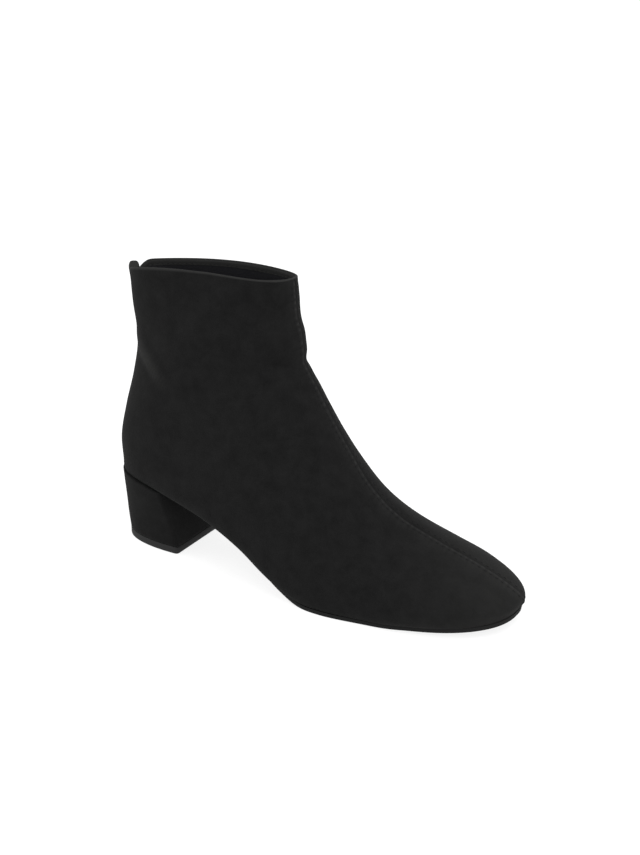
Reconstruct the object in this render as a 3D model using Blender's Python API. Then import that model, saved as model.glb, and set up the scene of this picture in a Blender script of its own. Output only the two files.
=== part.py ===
# Block heel ankle boot in black suede: a right boot with a closed zip at the back.
# Sizes are in millimetres on the last: x runs from the back of the heel to the toe,
# y to the wearer's left, z up from the floor. Meshes are written in metres.
import math

import bpy
import numpy as np

MM = 0.001

# Main sizes of the boot: length of the upper, thickness of the suede with its lining, gap between
# pieces, where the toe starts to round in and how squarely, and how far up the wall the edge rolls under
LENGTH = 239.5
WALL = 1.8
GAP = 0.3
TOE_START = 168.0
TOE_POWER = 2.3
FEATHER_ROLL = 9.0

# Sections through the upper, a row for each, from the toe to the collar.
# ridge_x and ridge_z: the point on the centre front seam where the section starts.
# lean: degrees that the section leans back from straight down.
# outer and inner: half widths of the right-hand and left-hand side at the widest place.
# belly: share of the way from ridge to base where the section is widest.
# crown_out, crown_in and under: roundness above and below that place, 2 is an ellipse.
# tuck: how far the wall turns in under the foot. lift: rise of the rim at the inner side.
# swing: how far the section moves to the wearer's left, which bends the toe inwards.
SECTION_COLUMNS = ("ridge_x", "ridge_z", "lean", "outer", "inner", "belly",
                   "crown_out", "crown_in", "under", "tuck", "lift", "swing")
SECTION_ROWS = {
    "toe_tip":     (239.5, 11.4, 33.0, 41.5, 38.0, 0.60, 2.10, 1.90, 2.40, 2.0, 0.0, 1.0),
    "toe_front":   (238.4, 14.8, 20.0, 41.5, 38.0, 0.61, 2.10, 1.90, 2.40, 2.4, 0.0, 1.0),
    "toe_cap":     (230.0, 20.0, 12.5, 41.5, 38.0, 0.62, 2.05, 1.85, 2.40, 3.0, 0.0, 0.9),
    "toe_box":     (214.0, 27.1, 7.0, 41.8, 38.5, 0.64, 2.00, 1.80, 2.40, 4.2, 0.0, 0.7),
    "tread_front": (195.0, 33.6, 3.9, 42.2, 39.5, 0.67, 1.90, 1.75, 2.40, 5.2, 0.0, 0.5),
    "ball":        (172.5, 42.8, 2.2, 42.6, 40.0, 0.70, 1.80, 1.80, 2.40, 4.0, 0.0, 0.2),
    "ball_back":   (156.4, 55.4, 8.7, 43.2, 38.5, 0.72, 1.75, 1.80, 2.40, 2.4, 0.0, 0.0),
    "waist":       (141.0, 76.0, 15.3, 41.4, 35.0, 0.72, 1.75, 1.80, 2.40, 4.0, 0.0, 0.0),
    "instep":      (128.8, 95.0, 23.1, 36.6, 32.0, 0.70, 1.75, 1.82, 2.40, 4.5, 0.0, 0.0),
    "ankle_front": (119.4, 112.0, 30.1, 33.2, 30.5, 0.67, 1.80, 1.85, 2.40, 4.0, 0.0, 0.0),
    "throat":      (114.3, 125.5, 36.1, 31.0, 29.5, 0.63, 1.85, 1.90, 2.40, 4.0, 0.0, 0.0),
    "heel_mid":    (112.2, 134.0, 42.0, 29.3, 28.8, 0.60, 1.90, 1.95, 2.40, 3.0, 0.0, 0.0),
    "heel_round":  (110.9, 139.0, 46.1, 28.3, 28.2, 0.58, 2.00, 2.05, 2.35, 1.2, 0.0, 0.0),
    "heel_corner": (110.4, 143.0, 48.03, 27.6, 27.6, 0.56, 2.10, 2.10, 2.30, 0.0, 0.0, 0.0),
    "counter":     (110.1, 146.5, 50.5, 26.8, 26.8, 0.55, 2.15, 2.15, 2.25, 0.0, 0.0, 0.0),
    "counter_top": (109.8, 150.0, 55.9, 25.5, 25.5, 0.53, 2.20, 2.20, 2.25, 0.0, 0.0, 0.0),
    "achilles":    (109.5, 153.0, 62.1, 24.0, 24.0, 0.52, 2.25, 2.20, 2.30, 0.0, 0.0, 0.0),
    "shaft":       (109.3, 155.5, 69.3, 22.5, 22.5, 0.50, 2.40, 2.20, 2.30, 0.0, 0.3, 0.0),
    "collar_band": (109.1, 157.8, 79.8, 21.0, 21.5, 0.50, 3.10, 2.20, 2.40, 0.0, 1.2, 0.0),
    "collar":      (109.0, 159.6, 90.0, 20.0, 21.0, 0.50, 4.20, 2.20, 2.60, 0.0, 1.7, 0.0),
}

# Line along the bottom edge of the upper, from the toe to the back of the heel seat
SOLE_COLUMNS = ("x", "z")
SOLE_ROWS = ((237.0, 7.5), (234.0, 7.0), (226.0, 6.1), (211.0, 4.6), (193.0, 3.0), (178.0, 2.0),
             (145.0, 2.0), (134.0, 2.6), (122.0, 6.3), (110.0, 11.6), (96.0, 19.2), (71.0, 29.9),
             (48.0, 36.0), (27.0, 40.4), (11.0, 43.0), (0.8, 44.4))

# Line up the centre back, from the heel seat to the collar
BACK_COLUMNS = ("x", "z")
BACK_ROWS = ((0.8, 44.4), (-0.6, 56.0), (3.6, 78.0), (10.2, 100.0), (13.2, 119.0), (10.8, 140.0),
             (10.0, 159.6))

# Dip of the collar at the zip: how deep it is, how far it reaches on the inner and on the outer side,
# and how many of the section rows below the rim it is spread over
DIP = 3.6
DIP_REACH = 10.0
DIP_REACH_OUT = 24.0
DIP_ROWS = 2.0

# Rise of the collar's rim at the sides: how round it is, the outer side's share of the inner side's
# rise, and how far back the outer side's highest place lies
LIFT_POWER = 1.5
LIFT_OUT = 1.2
LIFT_SKEW_OUT = 1.1

# Centre front seam: two sewn lips with a groove between them
SEAM_LIP = 1.1
SEAM_FOOT = 2.6
SEAM_RISE = 0.45
SEAM_GROOVE = 0.25

# Back zip: heights of the slit's foot and top, half width of the slit and how soon it fades into the
# wall, the coil that stands in it, the tape behind it and the slider at its top
ZIP_FOOT = 66.0
ZIP_TOP = 158.4
ZIP_HALF = 2.4
SLIT_FADE = 8.0
COIL_START = 3.0
COIL_HALF = 2.0
COIL_SINK = 0.5
TAPE_HALF = 7.0
TAPE = 0.8
SLIDER_LENGTH = 9.0
SLIDER_SINK = 0.2

# Strip that covers the zip: half width, thickness, how far it hangs below the slit and stands above
# the collar, and the rows of its rounded end
GUARD_HALF = 4.2
GUARD = 1.2
GUARD_DROP = 6.0
GUARD_RISE = 3.9
GUARD_END_SHARES = (0.45, 0.8, 1.0)
GUARD_END_WIDTH = 0.25

# Sole, insole and heel
OUTSOLE = 1.7
OUTSOLE_SPREAD = 1.3
TOE_SPREAD = 0.7
TOE_SPREAD_START = 185.0
ARCH_FRONT = 140.0
ARCH_BACK = 95.0
ARCH_INSET = 2.5
INSOLE = 2.4
HEEL_TIP = 4.2

# How far the insole's edge lies in from the bottom edge of the upper. It closes up to the wall at the
# waist, where no sole lies under the join.
INSOLE_INSET_COLUMNS = ("x", "inset")
INSOLE_INSET_ROWS = ((0.8, 2.2), (20.0, 2.2), (36.0, 0.65), (128.0, 0.65), (150.0, 1.3), (175.0, 2.2))

# Heel rings, a row for each. height: share of the way from the tip to the seat. front and back: places
# along the foot. half: half width. power: roundness of the back, 2 is an ellipse.
HEEL_COLUMNS = ("height", "front", "back", "half", "power")
HEEL_ROWS = ((0.00, 46.6, 1.9, 21.4, 2.35),
             (0.35, 43.9, 0.9, 22.4, 2.35),
             (0.75, 40.5, 0.9, 24.7, 2.35),
             (1.00, 38.7, 1.1, 26.4, 2.35))
HEEL_CORNER = 1.8
BREAST_GAP = 0.8

# How finely the forms are divided
PATH_STEPS = 400
TOE_STEPS = 6
FOOT_STEPS = 16
HEEL_STEPS = 8
HEEL_CROWDED_ROWS = 3
SHAFT_STEPS = 12
HALF_STEPS = 18
EDGE_CROWDING = 1.4
BACK_STEPS = 60
ZIP_STEPS = 14
SLIDER_STEPS = 4
GUARD_STEPS = 7
HEEL_LAYERS = 7
HEEL_STATIONS = 18
CORNER_STATIONS = 4

# Weight of a degree of lean against a millimetre of seam in the spacing of the sections, and the least
# share of the way to the back line that a section is taken to reach
LEAN_WEIGHT = 0.9
LEAST_REACH = 0.02
SMOOTH_ANGLE = 40.0


def columns(names, rows):
    """Named columns of a table as arrays."""
    return dict(zip(names, np.array(list(rows), float).T))


def smooth_curve(knots, values, wanted):
    """Smooth curve through the values, its slopes taken from the neighbours and level at each turn."""
    step = np.diff(knots)
    rise = np.diff(values) / step
    slope = (rise[:-1] * step[1:] + rise[1:] * step[:-1]) / (step[1:] + step[:-1])
    slope = np.where(rise[:-1] * rise[1:] > 0, slope, 0)
    slope = np.concatenate([rise[:1], slope, rise[-1:]])
    i = np.clip(np.searchsorted(knots, wanted, side="right") - 1, 0, len(step) - 1)
    t = (wanted - knots[i]) / step[i]
    level = values[i] * (1 + 2 * t) * (1 - t) ** 2 + values[i + 1] * t * t * (3 - 2 * t)
    return level + step[i] * t * (1 - t) * (slope[i] * (1 - t) - slope[i + 1] * t)


SECTION = columns(SECTION_COLUMNS, SECTION_ROWS.values())
SECTION_NAMES = list(SECTION_ROWS)
HEEL_ROW = SECTION_NAMES.index("heel_corner")
LAST_ROW = len(SECTION_NAMES) - 1
SOLE = columns(SOLE_COLUMNS, SOLE_ROWS)
BACK = columns(BACK_COLUMNS, BACK_ROWS)
BACK_X = BACK["x"][0]


def sole_height(x):
    """Height of the bottom edge of the upper at a place along the foot."""
    return smooth_curve(SOLE["x"][::-1], SOLE["z"][::-1], np.asarray(x, float))


def back_place(z):
    """Place of the centre back line at a height."""
    return smooth_curve(BACK["z"], BACK["x"], np.asarray(z, float))


def profile_path():
    """Points round the bottom and up the back, in the order that the sections meet them."""
    x = np.linspace(SOLE["x"][0], SOLE["x"][-1], PATH_STEPS)
    z = np.linspace(BACK["z"][0], BACK["z"][-1], PATH_STEPS)[1:]
    return np.concatenate([x, back_place(z)]), np.concatenate([sole_height(x), z])


PATH_X, PATH_Z = profile_path()


def sections(rows):
    """Every column of the section table at each row place, with the base point of each section."""
    travel = np.hypot(np.diff(SECTION["ridge_x"]), np.diff(SECTION["ridge_z"]))
    travel = travel + LEAN_WEIGHT * np.abs(np.diff(SECTION["lean"]))
    place = np.concatenate([[0.0], np.cumsum(travel)])
    wanted = np.interp(rows, np.arange(len(place)), place)
    row = {name: smooth_curve(place, values, wanted) for name, values in SECTION.items()}
    order = np.arange(len(PATH_X))
    base = []
    for ridge_x, ridge_z, lean in zip(row["ridge_x"], row["ridge_z"], row["lean"]):
        angle = np.degrees(np.arctan2(ridge_x - PATH_X, ridge_z - PATH_Z))
        met = np.interp(lean, np.maximum.accumulate(angle), order)
        base.append((np.interp(met, order, PATH_X), np.interp(met, order, PATH_Z)))
    row["base_x"], row["base_z"] = np.array(base).T
    return row


def taper(x):
    """One along the foot, rounding down to nothing at the tip of the toe."""
    run = np.clip((x - TOE_START) / (LENGTH - TOE_START), 0, 1)
    return (1 - run ** TOE_POWER) ** (1 / TOE_POWER)


def half_shell(rows, steps, side):
    """Outer face of one half: steps run from 0 at the centre front to 1 at the bottom edge or the back."""
    row = sections(rows)
    half = row["outer"] if side < 0 else row["inner"]
    width = (half * taper(row["ridge_x"]))[:, None]
    crown = (row["crown_out"] if side < 0 else row["crown_in"])[:, None]
    belly, under = row["belly"][:, None], row["under"][:, None]
    run_x = (row["base_x"] - row["ridge_x"])[:, None]
    run_z = (row["base_z"] - row["ridge_z"])[:, None]
    upper_turn = np.clip(steps / 0.5, 0, 1) * math.pi / 2
    lower_turn = np.clip(steps / 0.5 - 1, 0, 1) * math.pi / 2
    along = np.where(steps <= 0.5, belly * (1 - np.cos(upper_turn) ** (2 / crown)),
                     belly + (1 - belly) * np.sin(lower_turn) ** (2 / under))
    reach = np.clip(-run_x / (row["ridge_x"] - BACK_X)[:, None], LEAST_REACH, 1)
    reach = np.where((rows >= HEEL_ROW)[:, None], 1.0, reach)
    closing = np.clip((along - belly) / (1 / reach - belly), 0, 1)
    low = width * (1 - closing ** under) ** (1 / under)
    near_edge = np.clip(1 - (1 - along) * np.hypot(run_x, run_z) / FEATHER_ROLL, 0, 1)
    share = (row["tuck"] / half)[:, None]
    low = low * (1 - share * (1 - np.sqrt(1 - near_edge ** 2)))
    out = np.where(steps <= 0.5, width * np.sin(upper_turn) ** (2 / crown), low)
    x = row["ridge_x"][:, None] + along * run_x
    z = row["ridge_z"][:, None] + along * run_z
    lift, skew, reach = (LIFT_OUT, LIFT_SKEW_OUT, DIP_REACH_OUT) if side < 0 else (1.0, 1.0, DIP_REACH)
    z = z + lift * row["lift"][:, None] * np.sin(math.pi * np.clip(along, 0, 1) ** skew) ** LIFT_POWER
    below_rim = np.clip(1 - (LAST_ROW - rows) / DIP_ROWS, 0, 1)[:, None]
    to_back = np.where(steps > 0.5, np.clip(1 - out / reach, 0, 1), 0)
    z = z - DIP * below_rim ** 2 * to_back * to_back * (3 - 2 * to_back)
    return np.stack([x, side * out + row["swing"][:, None], z], -1), width, out


def half_steps(rows, count):
    """Steps from the seam to the base, with the seam's lip and foot at their real distance apart."""
    row = sections(rows)
    width = row["outer"] * taper(row["ridge_x"])
    marks = []
    for reach in (SEAM_LIP, SEAM_FOOT):
        part = np.minimum(reach / np.maximum(width, 1e-6), 0.12 * reach)
        marks.append(np.arcsin(np.minimum(part, 0.5) ** (row["crown_out"] / 2)) / math.pi)
    rest = 1 - (1 - np.linspace(0, 1, count - 1)[1:]) ** EDGE_CROWDING
    body = marks[1][:, None] + (1 - marks[1][:, None]) * rest[None, :]
    return np.concatenate([np.zeros((len(rows), 1)), marks[0][:, None], marks[1][:, None], body], 1)


def shell(rows, steps, zip_open=True):
    """Grid of the whole upper from the right-hand base over the seam to the left-hand base, with normals."""
    near, near_width, near_out = half_shell(rows, steps, -1)
    far, far_width, far_out = half_shell(rows, steps, 1)
    grid = np.concatenate([near[:, ::-1], far[:, 1:]], 1)
    along = np.gradient(grid, axis=0)
    across = np.gradient(grid, axis=1)
    normal = np.cross(across, along)
    middle = steps.shape[1] - 1
    normal[0, :, 1] = 0
    closed = rows >= HEEL_ROW
    normal[closed, 0, 1] = 0
    normal[closed, -1, 1] = 0
    normal[:, middle, 1] = 0
    for j in range(middle):
        both = normal[0, j] + normal[0, -1 - j]
        normal[0, j] = both
        normal[0, -1 - j] = both
    normal = normal / np.maximum(np.linalg.norm(normal, axis=2, keepdims=True), 1e-12)
    back_z = np.where(closed, grid[:, 0, 2], 0)
    opened = (back_z > ZIP_FOOT + 0.01) & zip_open
    for side, out, width, cols in ((-1, near_out, near_width, slice(middle, None, -1)),
                                   (1, far_out, far_width, slice(middle, None))):
        lower = steps > 0.5
        spread = np.where(lower, ZIP_HALF * (1 - out / np.maximum(width, 1e-6)) ** SLIT_FADE, 0)
        grid[opened, cols, 1] += side * spread[opened]
    return grid, normal, opened


def back_rows(heights):
    """Row places whose sections meet the centre back line at these heights."""
    fine = np.linspace(HEEL_ROW, LAST_ROW, PATH_STEPS)
    return np.interp(heights, sections(fine)["base_z"], fine)


def upper_rows():
    """Row places: close together round the toe tip and the heel, with one on the foot of the zip."""
    toe = 1 - np.cos(np.linspace(0, math.pi / 2, TOE_STEPS + 1))
    heel_start = HEEL_ROW - HEEL_CROWDED_ROWS
    foot = np.linspace(1, heel_start, FOOT_STEPS + 1)[1:]
    heel = heel_start + HEEL_CROWDED_ROWS * np.sin(np.linspace(0, math.pi / 2, HEEL_STEPS + 1))[1:]
    shaft = np.linspace(HEEL_ROW, LAST_ROW, SHAFT_STEPS + 1)[1:]
    rows = np.concatenate([toe, foot, heel, shaft])
    foot_row, open_row = back_rows([ZIP_FOOT, ZIP_FOOT + ZIP_HALF / 2])
    rows[np.argmin(np.abs(rows - foot_row))] = foot_row
    return np.sort(np.append(rows, open_row))


def seam_height(grid):
    """Rise of the two sewn lips above the wall and the groove between them."""
    rise = np.zeros(grid.shape[:2])
    middle = grid.shape[1] // 2
    rise[:, middle] = -SEAM_GROOVE
    rise[:, middle - 1] = SEAM_RISE
    rise[:, middle + 1] = SEAM_RISE
    rise[0] = 0
    return rise


def make_object(name, points, faces, colour, roughness, metallic=0.0):
    """One named solid with its own material."""
    mesh = bpy.data.meshes.new(name)
    mesh.from_pydata([tuple(p) for p in np.asarray(points) * MM], [], faces)
    mesh.update()
    mesh.shade_smooth()
    mesh.set_sharp_from_angle(angle=math.radians(SMOOTH_ANGLE))
    material = bpy.data.materials.new(name + "_material")
    material.use_nodes = True
    shader = material.node_tree.nodes["Principled BSDF"]
    shader.inputs["Base Color"].default_value = (*colour, 1)
    shader.inputs["Roughness"].default_value = roughness
    shader.inputs["Metallic"].default_value = metallic
    mesh.materials.append(material)
    thing = bpy.data.objects.new(name, mesh)
    bpy.context.scene.collection.objects.link(thing)
    return thing


def grid_faces(index):
    """Quads of a grid of vertex numbers, with repeated corners left out."""
    faces = []
    for i in range(index.shape[0] - 1):
        for j in range(index.shape[1] - 1):
            ring = [index[i, j], index[i, j + 1], index[i + 1, j + 1], index[i + 1, j]]
            face = [v for k, v in enumerate(ring) if v != ring[k - 1]]
            if len(set(face)) > 2:
                faces.append(tuple(int(v) for v in face))
    return faces


def thick_wall(outer, inner, index, count):
    """Closed solid between an outer and an inner grid that share their numbering."""
    points = np.zeros((2 * count, 3))
    points[index.ravel()] = outer.reshape(-1, 3)
    points[index.ravel() + count] = inner.reshape(-1, 3)
    front = grid_faces(index)
    edges = {}
    for face in front:
        for k, a in enumerate(face):
            edges[(a, face[(k + 1) % len(face)])] = True
    rim = [(b, a, a + count, b + count) for a, b in edges if (b, a) not in edges]
    inside = [tuple(v + count for v in reversed(face)) for face in front]
    return points, front + inside + rim


def pair_stack(rings):
    """Closed solid from rings of right and left points, bottom ring first; end pairs may be one point."""
    rings = np.asarray(rings, float)
    layers, stations = rings.shape[:2]
    number = np.zeros((layers, stations, 2), int)
    points = []
    for layer in range(layers):
        for station in range(stations):
            for hand in (0, 1):
                point = rings[layer, station, hand]
                if hand and np.allclose(point, rings[layer, station, 0], atol=1e-6):
                    number[layer, station, 1] = number[layer, station, 0]
                else:
                    number[layer, station, hand] = len(points)
                    points.append(point)
    faces = []

    def add(*ring):
        face = [int(v) for k, v in enumerate(ring) if v != ring[k - 1]]
        if len(set(face)) > 2:
            faces.append(tuple(face))

    for s in range(stations - 1):
        add(number[0, s, 0], number[0, s + 1, 0], number[0, s + 1, 1], number[0, s, 1])
        add(number[-1, s, 0], number[-1, s, 1], number[-1, s + 1, 1], number[-1, s + 1, 0])
        for k in range(layers - 1):
            add(number[k, s, 0], number[k + 1, s, 0], number[k + 1, s + 1, 0], number[k, s + 1, 0])
            add(number[k, s, 1], number[k, s + 1, 1], number[k + 1, s + 1, 1], number[k + 1, s, 1])
    for k in range(layers - 1):
        add(number[k, 0, 0], number[k, 0, 1], number[k + 1, 0, 1], number[k + 1, 0, 0])
        add(number[k, -1, 0], number[k + 1, -1, 0], number[k + 1, -1, 1], number[k, -1, 1])
    return np.array(points), faces


def base_pairs(rows):
    """Right and left points of the upper's bottom edge on each section."""
    ends = np.tile(np.array([0.0, 1.0]), (len(rows), 1))
    near = half_shell(rows, ends, -1)[0][:, -1]
    far = half_shell(rows, ends, 1)[0][:, -1]
    return near, far


def spread_pairs(near, far, distance):
    """The same outline moved outwards in plan."""
    moved = []
    for line, side in ((near, -1), (far, 1)):
        run = np.gradient(line[:, :2], axis=0)
        plan = np.stack([-run[:, 1], run[:, 0]], 1) * -side
        plan = plan / np.maximum(np.linalg.norm(plan, axis=1, keepdims=True), 1e-9)
        moved.append(plan)
    for end in (0, -1):
        if np.allclose(near[end], far[end], atol=1e-6):
            both = moved[0][end] + moved[1][end]
            both = both / np.linalg.norm(both)
            moved[0][end] = both
            moved[1][end] = both
    out = []
    for line, plan in zip((near, far), moved):
        shifted = line.copy()
        shifted[:, :2] += distance * plan
        out.append(shifted)
    return out


def flat_pairs(near, far, height):
    """Pairs of points whose height is a function of the place along the foot."""
    right, left = near.copy(), far.copy()
    right[:, 2] = height(right[:, 0])
    left[:, 2] = height(left[:, 0])
    return np.stack([right, left], 1)


def heel_pairs(front, back, half, power, height):
    """One ring of the heel: straight breast, rounded corners and a rounded back."""
    turn = np.linspace(0, math.pi / 2, HEEL_STATIONS)
    x = front - (front - back) * np.sin(turn) ** (2 / power)
    y = half * np.cos(turn) ** (2 / power)
    keep = x < front - HEEL_CORNER
    corner_y = np.interp(front - HEEL_CORNER, x[::-1], y[::-1])
    bend = np.linspace(0, math.pi / 2, CORNER_STATIONS)
    corner_x = front - HEEL_CORNER * (1 - np.cos(bend))
    round_y = corner_y - HEEL_CORNER * (1 - np.sin(bend))
    x = np.concatenate([corner_x, x[keep]])
    y = np.concatenate([round_y, y[keep]])
    y[-1] = 0
    near = np.stack([x, -y, np.zeros_like(x)], 1)
    far = np.stack([x, y, np.zeros_like(x)], 1)
    return flat_pairs(near, far, height)


def swept_strip(rows, across, depth_out, depth_in):
    """Strip that follows the back of the upper, between two depths under its outer face."""
    line = np.concatenate([np.linspace(0, 0.5, BACK_STEPS)[:-1], np.linspace(0.5, 1, BACK_STEPS)])
    grid, normal, _ = shell(rows, np.tile(line, (len(rows), 1)))
    outer = np.zeros((len(rows), len(across), 3))
    inner = np.zeros_like(outer)
    for i in range(len(rows)):
        for j, y in enumerate(across):
            hand = slice(0, BACK_STEPS) if y < 0 else slice(-1, -BACK_STEPS - 1, -1)
            points, facing = grid[i, hand], normal[i, hand]
            reach = np.abs(points[:, 1])
            x, z = (np.interp(abs(y), reach, points[:, k]) for k in (0, 2))
            face = np.array([np.interp(abs(y), reach, facing[:, k]) for k in range(3)])
            face = face / np.linalg.norm(face)
            outer[i, j] = np.array([x, y, z]) - face * depth_out
            inner[i, j] = np.array([x, y, z]) - face * depth_in
    return outer, inner


for old in list(bpy.data.objects):
    bpy.data.objects.remove(old, do_unlink=True)

SUEDE_COLOUR = (0.013, 0.013, 0.014)
RUBBER_COLOUR = (0.02, 0.02, 0.021)
LINING_COLOUR = (0.02, 0.021, 0.026)
METAL_COLOUR = (0.25, 0.25, 0.26)

# Upper: two suede quarters joined at the centre front, open at the collar, the zip and underneath
rows = upper_rows()
steps = half_steps(rows, HALF_STEPS)
grid, normal, opened = shell(rows, steps)
index = np.arange(grid.shape[0] * grid.shape[1]).reshape(grid.shape[:2])
middle = grid.shape[1] // 2
index[0, middle + 1:] = index[0, :middle][::-1]
joined = (rows >= HEEL_ROW) & ~opened
index[joined, -1] = index[joined, 0]
numbers, index = np.unique(index, return_inverse=True)
index = index.reshape(grid.shape[:2])
face_side = grid + normal * seam_height(grid)[:, :, None]
lining_side = grid - normal * WALL
points, faces = thick_wall(face_side, lining_side, index, len(numbers))
pieces = [make_object("upper", points, faces, SUEDE_COLOUR, 0.9)]

# Insole: board and sock that lie inside the bottom edge of the upper
foot_rows = rows[rows <= HEEL_ROW]
near, far = base_pairs(foot_rows)
near[0] = far[0] = 0.5 * (near[0] + far[0])
near[-1] = far[-1] = 0.5 * (near[-1] + far[-1])
inset_table = columns(INSOLE_INSET_COLUMNS, INSOLE_INSET_ROWS)
inset = np.interp(near[:, 0], inset_table["x"], inset_table["inset"])[:, None]
inside = spread_pairs(near, far, -inset)
points, faces = pair_stack([flat_pairs(*inside, sole_height),
                            flat_pairs(*inside, lambda x: sole_height(x) + INSOLE)])
pieces.append(make_object("insole", points, faces, LINING_COLOUR, 0.8))

# Outsole: thin rubber sole from the toe to the heel breast
breast_top = HEEL_ROWS[-1][1] + BREAST_GAP
sole_rows = rows[(rows <= HEEL_ROW) & (sections(rows)["base_x"] > breast_top + 1)]
fine = np.linspace(sole_rows[-1], HEEL_ROW, PATH_STEPS)
sole_rows = np.append(sole_rows, np.interp(-breast_top, -sections(fine)["base_x"], fine))
near, far = base_pairs(sole_rows)
near[0] = far[0] = 0.5 * (near[0] + far[0])
under_arch = np.clip((ARCH_FRONT - near[:, 0]) / (ARCH_FRONT - ARCH_BACK), 0, 1)
under_toe = np.clip((near[:, 0] - TOE_SPREAD_START) / (LENGTH - TOE_SPREAD_START), 0, 1)
spread = OUTSOLE_SPREAD - (OUTSOLE_SPREAD + ARCH_INSET) * under_arch * under_arch * (3 - 2 * under_arch)
spread = spread - (OUTSOLE_SPREAD - TOE_SPREAD) * under_toe
outline = spread_pairs(near, far, spread[:, None])
outline[0][-1, 0] = outline[1][-1, 0] = breast_top


def outsole_top(x):
    """Height of the outsole's upper face, level past the end of the sole line."""
    return sole_height(np.minimum(x, SOLE["x"][0])) - GAP


points, faces = pair_stack([flat_pairs(*outline, lambda x: outsole_top(x) - OUTSOLE),
                            flat_pairs(*outline, outsole_top)])
pieces.append(make_object("outsole", points, faces, RUBBER_COLOUR, 0.6))

# Heel: suede covered block under the seat, and its rubber tip on the floor
heel = columns(HEEL_COLUMNS, HEEL_ROWS)
rings = []


def heel_height(x, share):
    """Height of a heel ring, from level on the tip to the slope of the seat."""
    foot = HEEL_TIP + GAP
    return foot + share * (outsole_top(np.maximum(x, BACK_X)) - foot)


for share in np.linspace(0, 1, HEEL_LAYERS):
    size = [smooth_curve(heel["height"], heel[name], np.array([share]))[0] for name in HEEL_COLUMNS[1:]]
    rings.append(heel_pairs(*size, lambda x: heel_height(x, share)))
points, faces = pair_stack(rings)
pieces.append(make_object("heel", points, faces, SUEDE_COLOUR, 0.9))
floor_size = HEEL_ROWS[0]
points, faces = pair_stack([heel_pairs(*floor_size[1:], lambda x: 0 * x),
                            heel_pairs(*floor_size[1:], lambda x: 0 * x + HEEL_TIP)])
pieces.append(make_object("heel_tip", points, faces, RUBBER_COLOUR, 0.6))

# Zip: tape inside the wall with the closed coil standing in the slit
slider_foot = ZIP_TOP - SLIDER_LENGTH
zip_rows = back_rows(np.linspace(ZIP_FOOT + COIL_START, slider_foot - GAP, ZIP_STEPS))
tape_out = WALL + 2 * GAP
tape_in = tape_out + TAPE
edges = (-TAPE_HALF, -COIL_HALF, COIL_HALF, TAPE_HALF)
tape_face, tape_back = swept_strip(zip_rows, edges, tape_out, tape_in)
coil_face, _ = swept_strip(zip_rows, edges, COIL_SINK, tape_in)
ring = np.concatenate([tape_face[:, :2], coil_face[:, 1:3], tape_face[:, 2:], tape_back[:, ::-1]], 1)
count = ring.shape[1]
points = ring.reshape(-1, 3)
faces = []
for i in range(len(zip_rows) - 1):
    for j in range(count):
        k = (j + 1) % count
        faces.append((i * count + j, (i + 1) * count + j, (i + 1) * count + k, i * count + k))
top = (len(zip_rows) - 1) * count
for quad in ((0, 1, 8, 9), (1, 4, 7, 8), (4, 5, 6, 7), (1, 2, 3, 4)):
    faces.append(quad)
    faces.append(tuple(top + v for v in reversed(quad)))
pieces.append(make_object("zip", points, faces, LINING_COLOUR, 0.7))

# Zip slider: metal body parked at the top of the coil
slider_rows = back_rows(np.linspace(slider_foot, ZIP_TOP, SLIDER_STEPS))
outer, inner = swept_strip(slider_rows, (COIL_HALF, -COIL_HALF), SLIDER_SINK, tape_in)
index = np.arange(2 * SLIDER_STEPS).reshape(SLIDER_STEPS, 2)
points, faces = thick_wall(outer, inner, index, index.size)
pieces.append(make_object("zip_slider", points, faces, METAL_COLOUR, 0.35, 1.0))


def rounded_end(strip):
    """The strip with a rounded end above its last row."""
    rows = [strip]
    top = strip[-1, :, 2].min() + GUARD_RISE
    for rise in GUARD_END_SHARES:
        row = strip[-1:].copy()
        row[:, :, 1] *= GUARD_END_WIDTH + (1 - GUARD_END_WIDTH) * math.sqrt(1 - rise * rise)
        row[:, :, 2] += (top - row[:, :, 2]) * rise
        rows.append(row)
    return np.concatenate(rows)


# Zip guard: folded suede strip over the zip, its rounded end standing above the collar
guard_rows = back_rows(np.linspace(ZIP_FOOT - GUARD_DROP, BACK["z"][-1], ZIP_STEPS))
across = np.linspace(GUARD_HALF, -GUARD_HALF, GUARD_STEPS)
outer, inner = swept_strip(guard_rows, across, -GAP - GUARD, -GAP)
outer, inner = rounded_end(outer), rounded_end(inner)
index = np.arange(outer.shape[0] * outer.shape[1]).reshape(outer.shape[:2])
points, faces = thick_wall(outer, inner, index, index.size)
pieces.append(make_object("zip_guard", points, faces, SUEDE_COLOUR, 0.9))

# Stand: the middle of the boot's footprint is put at the origin
corners = np.array([tuple(vertex.co) for piece in pieces for vertex in piece.data.vertices])
low, high = corners.min(axis=0), corners.max(axis=0)
stand = bpy.data.objects.new("stand", None)
bpy.context.scene.collection.objects.link(stand)
stand.location = (-0.5 * (low[0] + high[0]), -0.5 * (low[1] + high[1]), -low[2])
for piece in pieces:
    piece.parent = stand
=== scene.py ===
import math

import bmesh
import bpy
import numpy as np
from mathutils import Matrix, Vector


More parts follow.
